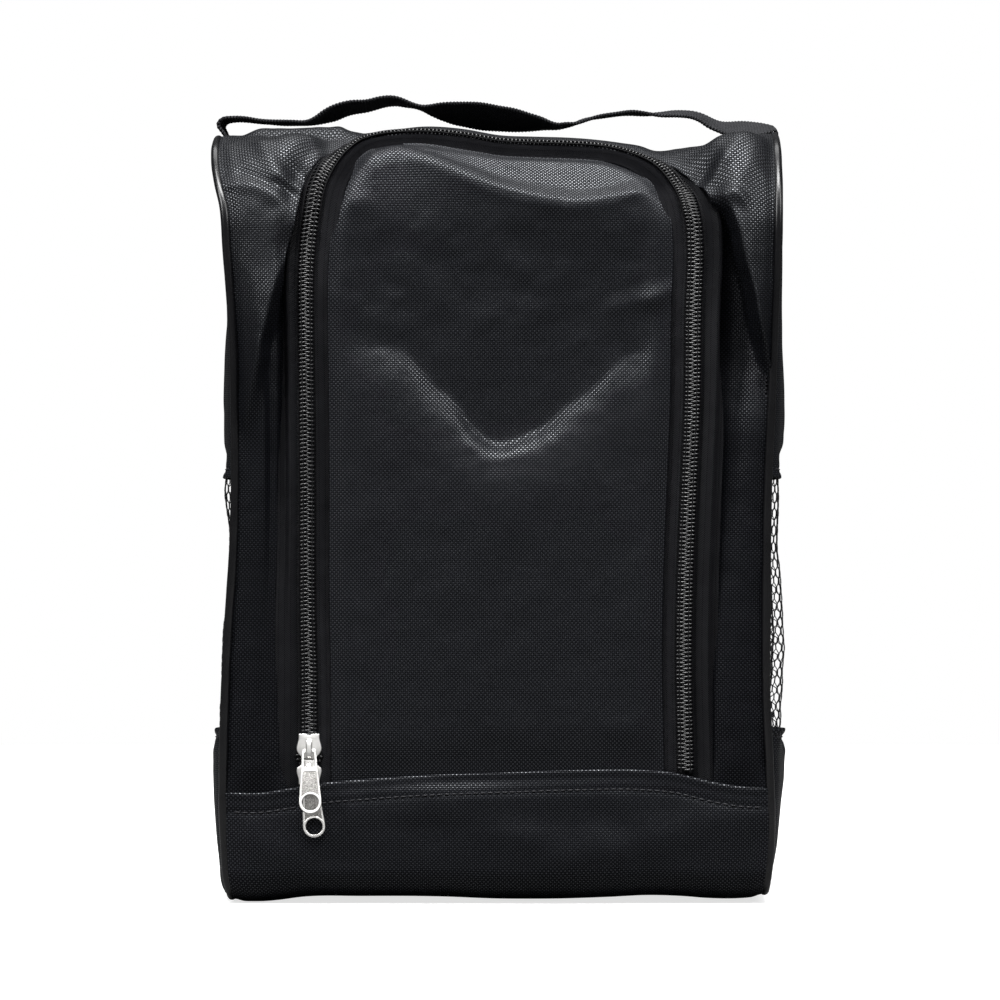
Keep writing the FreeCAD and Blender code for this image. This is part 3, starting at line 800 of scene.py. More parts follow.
def left_wedge(x, run, off):
    """cloth that leans out from the seam to a fold, then drops back to the zip"""
    crest = curve(run, FOLD_LEFT) + 0.5 * noise(0, run, 7, 81)
    part = np.clip((x + 117.5) / np.maximum(crest + 117.5, 2.0), 0, 1)
    section = np.where(x < crest, part ** 1.15, fall(0.0, 7.0, x - crest))
    trench = curve(run, TRENCH_LEFT) * fall(292, 298, run - 0.25 * (x + 93))
    return (0.95 * curve(run, FOLD_LEFT_HEIGHT) * section
            - trench * ramp(0.5, 5.0, x - np.maximum(crest, -106))
            - 2.6 * fall(9.5, 17, off) * fall(288, 300, run))


def right_wedge(x, run, off):
    """cloth that lies back from the zip, with a lipped pocket under the corner fold"""
    crest = curve(run, FOLD_RIGHT) + 0.5 * noise(0, run, 7, 82)
    part = np.clip((118.5 - x) / np.maximum(118.5 - crest, 2.0), 0, 1)
    section = np.where(x > crest, part ** 1.1, fall(0.0, 5.0, crest - x))
    trench = curve(run, TRENCH_RIGHT) * ramp(0, 14, 116 - x)
    roof = curve(x, POCKET_ROOF) + 0.8 * noise(x, 0, 6, 83)
    pocket = (ramp(205, 262, run) * fall(-4.5, 0.0, run - roof)
              * ramp(0.5, 6.5, crest - x) * ramp(82, 90, x))
    lip = bell(run - roof, 3.0, 3.4) * ramp(82, 88, x) * fall(103, 109, x)
    return (curve(run, FOLD_RIGHT_HEIGHT) * section * ramp(8, 15, off)
            - 1.6 * fall(292, 302, run) * fall(94, 104, x) - trench - 9.0 * pocket + 2.6 * lip)


def surround_relief(x, run):
    off = arch_distance(x, run)
    left, far = x < 0, np.abs(x)
    full_left = 15 + 9 * fall(280, 300, run) * fall(60, 250, run)
    full = ramp(8, np.where(left, full_left, 19), off)
    relief = 2.3 * full * (1 - 0.85 * ramp(106, 117.5, far)) - 1.1 * ramp(113, 117.6, far)
    relief += np.where(left, left_wedge(x, run, off), right_wedge(x, run, off))
    relief += folds(x, run, SURROUND_RIDGES, SURROUND_MOUNDS)
    relief += (0.55 * rumple(x, run, 38, 3) + 0.24 * rumple(x, run, 13, 5)) * full
    relief *= 1 - 0.95 * ramp(336, 364, run)
    return relief * ramp(-2, 14, run - hem(x))


def build_surround():
    border_up = RUN_BACK_BEND - ZIP_CORNER
    border_out = HALF_WIDTH - ZIP_CORNER_X
    turns = np.unique(np.append(np.linspace(0, pi / 2, 105), math.atan2(border_up, border_out)))
    half = np.concatenate([np.linspace(0.5, ZIP_LEG, 190)[:-1], ZIP_LEG + turns * ZIP_R])
    span = ZIP_LEG + ZIP_BEND + np.linspace(0, ZIP_SPAN, 60)[1:-1]
    way = np.concatenate([half, span, ZIP_LENGTH - half[::-1]])
    part = np.concatenate([np.linspace(0, 0.1, 7)[:-1], np.linspace(0.1, 0.92, 38)[:-1],
                           np.linspace(0.92, 1, 5)])
    edge = curve(way, SURROUND_EDGE)
    edge_x, edge_run = arch(way, edge)
    # the border: straight out from the core of the arch to the seam or the back of the top
    core_x, core_run = arch(way, -ZIP_R)
    _, _, normal_x, normal_run = walk(ZIP_PATH, way)
    reach = np.minimum(border_out / np.maximum(np.abs(normal_x), 1e-9),
                       border_up / np.maximum(normal_run, 1e-9))
    border_x, border_run = core_x + reach * normal_x, core_run + reach * normal_run
    x = edge_x[:, None] + (border_x - edge_x)[:, None] * part
    run = edge_run[:, None] + (border_run - edge_run)[:, None] * part
    # carry the side edges on to the piping
    x = x + np.sign(x) * 0.9 * ramp(113, 117, np.abs(x))
    off = arch_distance(x, run)
    relief = surround_relief(x, run)
    relief += chain_roll(way[:, None], 7.0) * fall(6, 20, off) * 0.8
    relief -= 0.5 * bell(off, edge[:, None], 1.1)
    return sheet("front_surround", on_cloth(x, run, relief), on_cloth(x, run, relief - 1.25),
                 x, run, CLOTH_SURROUND_SHADED)


# ---------------------------------------------------------------- flap
FLAP_GAP = 10.0         # from the zip centreline to the flap's edge
# the sunken area: (x, run) of its lower lip, (x, run) of its brow, (x, fade below the lip)
LIP = [(-76, 243), (-60, 246), (-48, 246.5), (-41.8, 244), (-34, 236), (-26.4, 227),
       (-17, 216.5), (-10, 208.5), (-5, 204.2), (0, 202.6), (6, 203.6), (19.8, 210.5),
       (32, 220.5), (44, 231), (57, 241.5), (66, 246), (76, 248)]
BROW = [(-76, 306), (-66, 314), (-57, 321), (-44, 324), (-33, 322), (-22, 318.5), (-11, 315),
        (0, 312), (11, 309), (22, 307.3), (35, 306), (44, 307.5), (53, 310.3), (66, 317.5),
        (76, 314)]
LIP_FADE = [(-76, 17), (-48, 19), (-34, 18), (-22, 13), (-12, 8), (-4, 6), (10, 6.5), (22, 9),
            (34, 13), (46, 16), (60, 17), (76, 15)]
# the top edge pulled in under the zip: (x, depth) and (x, run where it starts)
TUCK_DEPTH = [(-76, 0), (-62, 0.3), (-53, 1.0), (-40, 1.9), (-26, 2.9), (0, 3.6), (20, 3.1),
              (36, 2.8), (50, 2.4), (60, 1.4), (70, 0), (76, 0)]
TUCK_START = [(-76, 334), (-53, 330), (-40, 326.5), (-26, 322.5), (0, 315.5), (20, 311.5),
              (30, 310), (36, 309.5), (50, 312), (60, 316), (76, 320)]
# height, width, (x, run) points
FLAP_RIDGES = [
    # the crease's sharp middle and its arms
    (0.9, 4.2, (-12, 203), (-6.6, 197.5), (2, 198), (12, 200.5), (21, 204)),
    (0.35, 6.5, (24, 206), (38, 218), (52, 232)),
    (0.5, 10.0, (-26, 214), (-40, 228), (-58, 234)),
    # small folds of the slack cloth
    (1.0, 4.8, (-58, 325), (-46, 331), (-34, 327), (-16, 320), (4, 315), (22, 310), (33, 309),
     (44, 313), (60, 316)),
    (1.0, 4.2, (50, 263), (60, 266), (73, 270)),
    (0.6, 6.0, (-70, 268), (-56, 258), (-44, 254)),
    (0.5, 7.0, (-34, 296), (-38, 278), (-28, 262)),
    (0.6, 6.0, (4, 282), (20, 276), (34, 280)),
    (0.5, 10, (-4, 196), (0, 170), (-8, 140)),
]
# height, x, run, radius in x, radius in run, turn
FLAP_MOUNDS = [(1.0, -64, 308, 7, 5, 0), (0.8, 67, 266, 6, 5, 0), (0.6, -46, 268, 10, 5, 0),
               (0.5, 18, 262, 12, 5, 0)]


def flap_relief(x, run):
    inside = -arch_distance(x, run)
    relief = 2.6 * ramp(9.5, 17.5, inside)
    # the sunken area, deepest just above the lip
    lip = curve(x, LIP) + 1.3 * noise(x, 0, 9, 77) + 0.6 * noise(x, run, 5, 78)
    brow = curve(x, BROW) + 0.8 * noise(x, 0, 11, 79)
    under_brow = np.maximum(brow - run, 0)
    span = np.maximum(brow - lip, 1)
    sunk = (0.50 * (1 - np.exp(-(under_brow / 13.0) ** 1.15))
            + 0.50 * np.clip(under_brow / span, 0, 1.1))
    at_lip = 0.50 * (1 - np.exp(-(span / 13.0) ** 1.15)) + 0.50
    under_lip = lip - run
    rounded = 0.5 * (under_lip + np.sqrt(under_lip * under_lip + 1.6))
    depth = np.where(under_lip > -4, np.minimum(sunk, at_lip), sunk)
    depth = depth * np.exp(-rounded / curve(x, LIP_FADE))
    middle = ramp(-76, -46, x) * fall(58, 75, x)
    relief -= 8.8 * middle * depth * (1 - 0.36 * ramp(20, 50, np.abs(x - 2)))
    # fullness under the lip, fading down the flap
    relief += (0.9 * ramp(60, 130, run) * fall(-30, 10, run - lip) * (1 - (np.abs(x) / 78) ** 2)
               * ramp(9.5, 20, inside))
    relief += folds(x, run, FLAP_RIDGES, FLAP_MOUNDS)
    start = curve(x, TUCK_START)
    relief -= curve(x, TUCK_DEPTH) * (ramp(start - 1, start + 9, run)
                                      - 0.55 * ramp(start + 12, 343, run))
    crumple = (0.42 * rumple(x, run, 42, 11) + 0.22 * rumple(x, run, 15, 12, 4)
               + 0.34 * rumple(x, run, 12, 14, 2) * ramp(225, 262, run) * fall(296, 312, run))
    relief += crumple * ramp(10, 20, inside)
    return relief * ramp(-2, 22, run - hem(x))


def build_flap():
    radius = ZIP_R - FLAP_GAP
    rows = np.concatenate([np.linspace(ZIP_FOOT + 1, ZIP_CORNER, 225)[:-1],
                           ZIP_CORNER + radius * np.sin(np.linspace(0, pi / 2, 60))])
    edge = np.array([0, 0.006, 0.014, 0.024, 0.036, 0.05, 0.066])
    part = np.concatenate([-1 + edge, np.linspace(-0.92, 0.92, 140), (1 - edge)[::-1]])
    past = np.maximum(rows - ZIP_CORNER, 0)
    half_width = ZIP_CORNER_X + np.sqrt(np.maximum(radius**2 - past**2, 0))
    x = half_width[:, None] * part
    run = np.broadcast_to(rows[:, None], x.shape)
    relief = flap_relief(x, run)
    # the top edge hangs short of the zip, most on the right
    slip = (2.3 * ramp(-38, -14, x) * fall(52, 70, x) + 0.6) * ramp(322, 341, run)
    return sheet("flap_panel", on_cloth(x, run - slip, relief),
                 on_cloth(x, run - slip, relief - 1.2), x, run, CLOTH)


# ---------------------------------------------------------------- zip
# (way, share) of the chain's turn: outward round the corners, upward along the top
CHAIN_TURN = [(0, 0), (ZIP_LEG - 34, 0.0), (ZIP_LEG - 8, 0.35), (ZIP_LEG + 14, 0.72),
              (ZIP_LEG + 40, 0.72), (ZIP_LEG + ZIP_BEND, 0.55),
              (ZIP_LEG + ZIP_BEND + ZIP_SPAN, 0.55), (ZIP_DOWN - 42, 0.7), (ZIP_DOWN - 14, 0.6),
              (ZIP_DOWN + 10, 0.2), (ZIP_DOWN + 34, 0.0), (ZIP_LENGTH, 0)]
TOOTH_PITCH = 1.78
# one wire loop of the coil: offset, height, step along; from the head, over the top to the
# outside and back underneath
COIL_LOOP = np.array([
    (-0.35, 0.15, -0.02), (-0.62, 0.72, 0.0), (-0.45, 1.22, 0.02), (0.25, 1.48, 0.06),
    (1.3, 1.52, 0.16), (2.4, 1.36, 0.30), (3.2, 0.95, 0.42), (3.52, 0.25, 0.50),
    (3.35, -0.45, 0.58), (2.5, -0.85, 0.66), (1.0, -0.9, 0.78)])
COIL_RADII = np.array([0.34, 0.50, 0.54, 0.50, 0.46, 0.46, 0.45, 0.42, 0.38, 0.36, 0.34])
# threads that hold the coil down: offset, height, radius
COIL_THREADS = [(1.95, 1.48, 0.46), (3.75, 0.25, 0.30)]


def chain_roll(way, off):
    return -curve(way, CHAIN_TURN) * 7.0 * np.tanh(off / 7.0)


def slider_spread(way):
    """the chain stands open between the two sliders"""
    return 2.5 * bell(ZIP_FOOT + way, 65.2, 3.1)


def tape_level(way, off):
    """height of the tape's face; off is positive outside the arch"""
    right_leg = ramp(ZIP_DOWN - 22, ZIP_DOWN + 6, way)
    lift = ((1.5 - 1.7 * ramp(235, 275, ZIP_LENGTH - way + ZIP_FOOT)) * ramp(4.2, 8.5, off)
            * fall(10.4, 12.6, off) - 1.1 * ramp(10.6, 12.6, off))
    level = -1.15 + lift * right_leg
    # before the right leg the outer tape's free edge lies under the surround's turned edge
    under = 0.4 + 5.6 * ramp(60, 200, way) * fall(ZIP_LEG - 20, ZIP_LEG + 10, way)
    level -= (1 - right_leg) * under * ramp(8.6, 11.0, off)
    # the inner tape slopes back under the flap
    top = ramp(ZIP_LEG - 6, ZIP_LEG + 34, way) * fall(ZIP_DOWN - 34, ZIP_DOWN + 6, way)
    level -= 0.5 * ramp(6.0, 10.0, -off) + 3.3 * top * ramp(4.0, 11.5, -off)
    return level + chain_roll(way, off)


def build_tape(name, sign):
    """sign is 1 for the tape outside the arch and -1 for the one inside"""
    bend = np.linspace(0, ZIP_BEND, 60)[:-1]
    rows = np.concatenate([
        np.linspace(1.0, ZIP_LEG, 150)[:-1], ZIP_LEG + bend,
        ZIP_LEG + ZIP_BEND + np.linspace(0, ZIP_SPAN, 50)[:-1],
        ZIP_LEG + ZIP_BEND + ZIP_SPAN + bend, ZIP_DOWN + np.linspace(0, ZIP_LEG - 1.0, 150)])
    columns = np.concatenate([[0.5, 1.2, 2.4, 3.6], np.linspace(4.6, 14.4, 15)])
    if sign < 0:
        trim = (0.12 * ramp(ZIP_LEG - 30, ZIP_LEG + 10, rows)
                * fall(ZIP_DOWN - 10, ZIP_DOWN + 30, rows))
    else:
        trim = (0.2 * ramp(ZIP_DOWN - 30, ZIP_DOWN + 4, rows)
                * fall(ZIP_DOWN + 60, ZIP_DOWN + 110, rows))
    off = sign * (columns + slider_spread(rows)[:, None] * fall(2, 11, columns))
    off = off * (1 - trim[:, None] * ramp(3, 9, columns))
    way = np.broadcast_to(rows[:, None], off.shape)
    x, run = arch(way, off)
    level = tape_level(way, off) + 0.12 * noise(way, off * 3, 22, 31)
    return sheet(name, on_cloth(x, run, level), on_cloth(x, run, level - 0.55), off, way,
                 TAPE_OUTER_SHADED if sign > 0 else TAPE_INNER)


def build_coil(name, sign):
    """one half of the coil: a wire loop per tooth, its head past the centreline"""
    start = float(hem(-ZIP_X)) + 0.9 - ZIP_FOOT
    end = ZIP_LENGTH - (float(hem(ZIP_X)) + 0.9 - ZIP_FOOT)
    lead = 1.7 * (-0.55 if sign > 0 else -0.25)
    count = int((end - start) / TOOTH_PITCH)
    teeth = start + (np.arange(count) + (0.5 if sign > 0 else 0.0)) * TOOTH_PITCH
    teeth = teeth + np.random.default_rng(7 + sign).normal(0, 0.035, count)
    batch = Batch()

    def add_wire(way, offset, level, radius, sides):
        off = sign * (offset + slider_spread(way))
        points = on_cloth(*arch(way, off), level + chain_roll(way, off))
        batch.add_tube(points, radius, sides)

    for tooth in teeth:
        add_wire(tooth + COIL_LOOP[:, 2] * lead, COIL_LOOP[:, 0], COIL_LOOP[:, 1], COIL_RADII, 7)
    first_thread_vert = batch.count
    way = np.arange(start, end, 0.85)
    ripple = 0.10 * np.cos((way - start) / TOOTH_PITCH * 2 * pi)
    for offset, level, radius in COIL_THREADS:
        add_wire(way, offset, level + ripple, radius, 6)
    ob = batch.build(name, COIL)

    mesh = ob.data
    mesh.materials.append(COIL_THREAD)
    corners = np.empty(len(mesh.loops), np.int32)
    mesh.loops.foreach_get("vertex_index", corners)
    starts = np.empty(len(mesh.polygons), np.int32)
    mesh.polygons.foreach_get("loop_start", starts)
    is_thread = (corners[starts] >= first_thread_vert).astype(np.int32)
    mesh.polygons.foreach_set("material_index", is_thread)
    mesh.update()
    return ob


# ---------------------------------------------------------------- back and base band
BAND_BACK_TOP = 56.0    # height of the band's edge on the back
BAND_THICK = 1.35
BAND_HEM = 8.0          # stitch line below the band's edge
# height, width, (x, run) points
BAND_RIDGES = [
    (0.9, 7, (-60, 42), (-34, 41), (-10, 36), (14, 30)),
    (0.7, 4.5, (-76, 46), (-56, 50), (-30, 51)),
    (0.9, 8, (30, 20), (56, 24), (88, 36), (108, 38)),
    (-0.7, 7, (46, 40), (60, 30), (68, 12)),
    (0.8, 7, (-108, 30), (-96, 22), (-80, 12)),
]
BAND_MOUNDS = [(-0.8, -70, 20, 14, 9, 0)]


def wrap_columns(count):
    """x of the grid columns from seam to seam, closer at the seams"""
    return np.concatenate([np.linspace(-118, -112, 5)[:-1], np.linspace(-112, 112, count),
                           np.linspace(112, 118, 5)[1:]])


def build_back():
    rows = np.concatenate([np.linspace(RUN_BACK_BEND - 1.0, RUN_BACK_BEND + 4, 7)[:-1],
                           np.linspace(RUN_BACK_BEND + 4, RUN_BACK_END - 38, 190)])
    x, run = np.meshgrid(wrap_columns(64), rows)
    far, past = np.abs(x), run - RUN_BACK_BEND
    above_band = fall(RUN_BACK_END - 70, RUN_BACK_END - 46, run)
    relief = 2.0 * fall(100, 117.5, far) - 0.9 * ramp(113, 118, far)
    relief = relief * ramp(0, 16, past) * above_band
    relief += 0.7 * rumple(x, run, 55, 41) * ramp(2, 20, past) * above_band
    relief -= 0.9 * bell(past, 0, 2.2)
    return sheet("back_panel", on_cloth(x, run, relief), on_cloth(x, run, relief - 1.2),
                 x, run, CLOTH)


def band_relief(x, run, top):
    front = ramp(-8, 6, run)
    below, far = top - run, np.abs(x)
    relief = 2.4 * bell(np.clip(run, -10, 80), 27, 20) * (1 - (far / 121) ** 4) * front
    relief = relief * (1 - 0.8 * ramp(104, 117.5, far))
    relief += front * folds(x, run, BAND_RIDGES, BAND_MOUNDS)
    relief += 0.34 * rumple(x, run, 36, 51) * front
    relief += front * 2.3 * bell(x, -17, 26.0) * ramp(1.0, 8.5, below) * fall(9, 24, below)
    relief += front * 1.0 * bell(x, 34, 34.0) * ramp(1.5, 9, below) * fall(10, 24, below)
    relief += 0.30 * fall(0.8, 3.2, below) - 0.42 * bell(below, BAND_HEM, 1.5)
    return relief - 0.9 * ramp(113, 118, far)


def build_band():
    columns = wrap_columns(130)
    # 0 to 1 down the front to under the foot, 1 to 2 on to the back edge
    part = 2 * np.concatenate([np.linspace(0, 0.05, 12)[:-1], np.linspace(0.05, 0.5, 62)[:-1],
                               np.linspace(0.5, 1.0, 30)])[:, None]
    top = hem(columns)[None, :]
    back_edge, turn = back_run(BAND_BACK_TOP), -12.0
    x = np.broadcast_to(columns[None, :], (len(part), len(columns)))
    run = np.where(part <= 1, top + (turn - top) * part, turn + (back_edge - turn) * (part - 1))
    relief = band_relief(x, run, top)
    from_edge = run - back_edge
    relief += fall(-150, -110, run) * (0.5 * fall(0.6, 2.6, from_edge)
                                       - 0.4 * bell(from_edge, BAND_HEM, 1.5))
    outer = on_cloth(x, run, BAND_THICK + relief)
    inner = on_cloth(x, run, 0.12 + np.maximum(relief, -0.05) * ramp(2.0, 9.0, top - run))
    return sheet("base_band", outer, inner, x, run, CLOTH_BAND)


def add_stitches(batch, place, half_length, pitch=3.2, length=2.4, radius=0.27, rise=0.22):
    """a row of rounded threads; place(distance, lift) gives points, distance from the middle"""
    count = int(2 * half_length / pitch)
    lift = rise * np.array([-1.2, 0.35, 0.8, 0.8, 0.35, -1.2])
    radii = radius * np.array([0.7, 1, 1.05, 1.05, 1, 0.7])
    for i in range(count):
        middle = -half_length + (i + 0.5) * 2 * half_length / count
        batch.add_tube(place(middle + np.linspace(-0.5, 0.5, 6) * length, lift), radii, 7)


def build_band_stitch():
    batch = Batch()

    def place(x, lift):
        run = hem(x) - BAND_HEM
        return on_cloth(x, run, BAND_THICK + band_relief(x, run, hem(x)) + lift + 0.1)

    add_stitches(batch, place, 115)
    return batch.build("band_topstitch", THREAD)


# ---------------------------------------------------------------- side panels and net
SIDE_X = 118.9          # the panels' CAD face
LOWER_TOP = 77.0        # upper edge of the lower panel
UPPER_FOOT = 187.0      # lower edge of the upper panel
SIDE_HEM = 3.5          # stitch line from each edge
# (z, bulge) of the cloth
BULGE = {
    -1: [(0, 3.0), (6.6, 4.6), (15, 4.4), (24, 5.2), (33, 5.9), (42, 6.5), (50, 6.6), (59, 6.6),
         (66, 6.3), (72, 5.8), (77, 5.6), (186, 4.4), (200, 5.6), (225, 5.8), (245, 4.6),
         (262, 2.6), (275, 1.4), (290, 0.6), (310, 0.3), (343, 0.0)],
    1: [(0, 0.6), (6.6, 2.2), (15, 3.4), (24, 4.6), (33, 5.4), (42, 6.5), (50, 7.9), (59, 8.3),
        (66, 8.4), (72, 7.6), (77, 7.0), (186, 6.0), (205, 7.4), (225, 7.4), (245, 6.0),
        (270, 4.4), (290, 3.2), (310, 1.6), (343, 0.3)],
}
# (z, bulge) of the net
NET_BULGE = {
    -1: [(70, 3.0), (77, 2.5), (86, 2.7), (95, 2.2), (103, 2.6), (112, 2.7), (121, 2.8),
         (130, 2.2), (139, 2.0), (147, 2.2), (156, 2.4), (165, 2.7), (174, 4.2), (183, 5.4),
         (194, 5.4)],
    1: [(70, 7.4), (77, 7.2), (86, 6.8), (95, 7.9), (103, 8.0), (112, 8.8), (121, 8.2),
        (130, 7.8), (139, 7.2), (147, 6.6), (156, 5.4), (165, 5.4), (174, 5.6), (183, 5.6),
        (194, 6.2)],
}
# (distance from the seam, share of the net's bulge)
NET_SHAPE = [(0, 0.0), (2, 0.45), (4.5, 0.85), (7.5, 1.0), (11, 0.92), (16, 0.55), (24, 0.0),
             (40, -0.8), (64, -1.1)]


def side_outline(z, inset):
    """front and back y of the side outline, inset from the wrap"""
    def half_depth(radius, past):
        bend = np.sqrt(np.maximum((radius - inset) ** 2 - past ** 2, 0))
        return np.where(past > 0, HALF_DEPTH - radius + bend, HALF_DEPTH - inset)

    foot = half_depth(FOOT_R, FOOT_TOP - z)
    front = np.minimum(half_depth(FRONT_R, z - RUN_FRONT_BEND), foot)
    back = np.minimum(half_depth(BACK_R, z - (TOP - BACK_R)), foot)
    return -front, back


def on_side(sign, y, z, out):
    """points on a side panel, out from its CAD face"""
    y, z, out = np.broadcast_arrays(*(np.asarray(part, float) for part in (y, z, out)))
    front, back = side_outline(z, 3.0)
    part = np.clip((y - front) / np.maximum(back - front, 1e-6), 0, 1)
    soft = np.clip(np.sin(pi * part), 0, 1) ** 0.72
    from_seam = np.minimum(y - front, back - y)
    near = np.clip(from_seam / 8.5, 0, 1)
    pouch = np.sqrt(np.clip(1 - (1 - near) ** 2, 0, 1)) * (0.93 + 0.07 * soft)
    pouch_share = 0.30 * fall(290, 330, z)
    cloth = curve(z, BULGE[sign]) * (soft * (1 - pouch_share) + pouch * pouch_share)
    shape = curve(from_seam, NET_SHAPE)
    net = np.where(shape > 0, curve(z, NET_BULGE[sign]) * shape, 6.0 * shape)
    net_share = ramp(64, 84, z) * fall(179, 203, z)
    bulge = cloth * (1 - net_share) + net * net_share
    seam = curve(np.clip(z, 0, 350), SEAM_LEFT if sign < 0 else SEAM_RIGHT)
    x = sign * (SIDE_X + out + bulge) + seam * (0.35 + 0.65 * fall(-60, 20, y))
    drop = curve(sign * 118.0, TOP_DROP) * ramp(298, 330, z)
    return np.stack([x, y, np.maximum(z + drop + foot_lift(sign * 117.0, y, z), 0.05)], -1)


def middle_bow(y, half_depth):
    return arc_sine((y + half_depth) / (2 * half_depth))


def on_upper(sign, y, z, out):
    """points on the upper side panel, whose lower edge droops"""
    near_edge = fall(UPPER_FOOT, 215, z)
    droop = (3.0 * middle_bow(y, 60) - 1.5) * near_edge
    relief = 0.9 * rumple(y, z + sign * 300, 40, 61) * ramp(UPPER_FOOT, 205, z)
    relief = relief * (1 - np.abs(y) / 75)
    from_edge = z - UPPER_FOOT
    relief += 0.45 * fall(0.6, 2.6, from_edge) - 0.4 * bell(from_edge, SIDE_HEM, 1.2)
    return on_side(sign, y, z - droop, relief + out)


def on_lower(sign, y, z, out):
    """points on the lower side panel, whose upper edge gapes and dips"""
    bow = middle_bow(y, 62)
    relief = 0.8 * rumple(y, z + sign * 500, 34, 71) * (1 - np.abs(y) / 75)
    relief += 1.6 * ramp(60, LOWER_TOP, z) * bow
    from_edge = LOWER_TOP - z
    relief += 0.7 * fall(0.6, 3.0, from_edge) - 0.4 * bell(from_edge, SIDE_HEM, 1.1)
    return on_side(sign, y, z - 1.8 * bow * ramp(40, LOWER_TOP, z), relief + out)


UPPER_ROWS = np.concatenate([
    np.linspace(UPPER_FOOT, 189.2, 6)[:-1], np.linspace(189.2, RUN_FRONT_BEND, 80)[:-1],
    RUN_FRONT_BEND + 47.5 * np.sin(np.linspace(0, pi / 2, 26))])
LOWER_ROWS = np.concatenate([
    FOOT_TOP - 12.2 * np.sin(np.linspace(pi / 2, 0, 14)), np.linspace(FOOT_TOP, 73, 44)[1:],
    np.linspace(73, LOWER_TOP, 9)[1:]])


def build_side_panel(name, sign, surface, rows):
    front, back = side_outline(rows, 1.6)
    edge = np.array([0, 0.008, 0.02, 0.036])
    part = np.concatenate([edge, np.linspace(0.055, 0.945, 60), (1 - edge)[::-1]])
    y = front[:, None] + (back - front)[:, None] * part
    z = np.broadcast_to(rows[:, None], y.shape)
    return sheet(name, surface(sign, y, z, 1.2), surface(sign, y, z, 0.0), y, z, CLOTH_SIDE)


def build_side_stitch(name, sign):
    batch = Batch()
    for surface, height in ((on_lower, LOWER_TOP - SIDE_HEM), (on_upper, UPPER_FOOT + SIDE_HEM)):
        def place(y, lift):
            return surface(sign, y, np.full(y.shape, height), 1.25 + lift)

        add_stitches(batch, place, 58)
    return batch.build(name, THREAD)


NET_CELL_Y, NET_CELL_Z = 3.5, 3.7
NET_HALF_DEPTH = 61.0
NET_FOOT, NET_TOP = 71.0, 193.5
NET_UPRIGHT_R, NET_SLANT_R = 0.31, 0.23
NET_YARN_SIDES = 5


def net_yarns(sign):
    """start (y, z), end (y, z) and radius of each yarn between two knots"""
    rows = int((NET_TOP - NET_FOOT) / NET_CELL_Z)
    columns = int(2 * NET_HALF_DEPTH / NET_CELL_Y)
    rng = np.random.default_rng(90 + (sign > 0))
    knots = {}

    def knot(i, j, upper):
        """knot at the foot or the top of the upright in column i, row j"""
        key = (i, j, upper)
        if key not in knots:
            y = -NET_HALF_DEPTH + (i + (0.5 if j % 2 else 0.0)) * NET_CELL_Y + rng.normal(0, 0.10)
            z = NET_FOOT + j * NET_CELL_Z + (NET_CELL_Z * 0.46 if upper else 0.0)
            z += rng.normal(0, 0.08)
            knots[key] = (min(max(y, -NET_HALF_DEPTH), NET_HALF_DEPTH), min(z, NET_TOP))
        return knots[key]

    yarns = []
    for j in range(rows):
        for i in range(columns + 1):
            yarns.append((knot(i, j, False), knot(i, j, True), NET_UPRIGHT_R))
            if j + 1 == rows:
                continue
            for step in ((0, 1) if j % 2 else (-1, 0)):
                if 0 <= i + step <= columns:
                    yarns.append((knot(i, j, True), knot(i + step, j + 1, False), NET_SLANT_R))
    starts, ends, radii = zip(*yarns)
    return np.array(starts), np.array(ends), np.array(radii)


def build_net(name, sign):
    """hexagonal knitted net, every hole open"""
    starts, ends, radius = net_yarns(sign)
    starts = on_side(sign, starts[:, 0], starts[:, 1], 0.0)
    ends = on_side(sign, ends[:, 0], ends[:, 1], 0.0)
    along = unit(ends - starts)
    side = unit(np.cross(along, np.array([[float(sign), 0, 0]])))
    other = np.cross(side, along)
    count = NET_YARN_SIDES
    angle = 2 * pi * np.arange(count) / count
    ring = (np.cos(angle)[None, :, None] * side[:, None, :]
            + np.sin(angle)[None, :, None] * other[:, None, :]) * radius[:, None, None]
    overlap = along * radius[:, None] * 0.25
    tip = along * radius[:, None] * 0.75
    verts = np.concatenate([
        (starts - overlap)[:, None, :] + ring, (ends + overlap)[:, None, :] + ring,
        (starts - tip)[:, None, :], (ends + tip)[:, None, :]], 1)
    k = np.arange(count)
    k_next = (k + 1) % count
    quads = np.stack([k, k_next, k_next + count, k + count], 1)
    tris = np.concatenate([np.stack([np.full(count, 2 * count), k_next, k], 1),
                           np.stack([np.full(count, 2 * count + 1), k + count, k_next + count], 1)])
    base = (np.arange(len(verts)) * (2 * count + 2))[:, None, None]
    faces = [(quads[None] + base).reshape(-1, 4), (tris[None] + base).reshape(-1, 3)]
    return make_mesh(name, verts, faces, None, NET_YARN)


# ---------------------------------------------------------------- piping and seam binding
# cross-sections as (x, depth inside the wrap)
FLANGE_SECTION = [(117.3, 2.2), (117.3, 9.4), (118.1, 9.4), (118.1, 2.2)]
BINDING_SECTION = [(116.2, 2.2), (115.9, 2.9), (115.9, 10.2), (116.3, 11.0), (116.9, 11.0),
                   (117.15, 10.3), (117.15, 2.9), (116.9, 2.2)]


def loop_runs(count):
    """runs right round the case, starting and ending low on the back"""
    return np.linspace(back_run(40.0), RUN_BACK + (TOP - BACK_R) - 40.0, count + 1)[:-1]


def add_ring_strip(batch, sign, runs, section):
    """closed loop of a flat section"""
    rows, cols = len(runs), len(section)
    verts = np.stack([on_cloth(sign * x, runs, -depth) for x, depth in section], 1).reshape(-1, 3)
    depths = [depth for _, depth in section]
    uvs = np.stack([np.tile(depths, rows), np.repeat(np.arange(rows) * 1.5, cols)], 1)
    batch.add(verts, grid_faces(rows, cols, wrap_rows=True, wrap_cols=True), NO_TRIS, uvs)


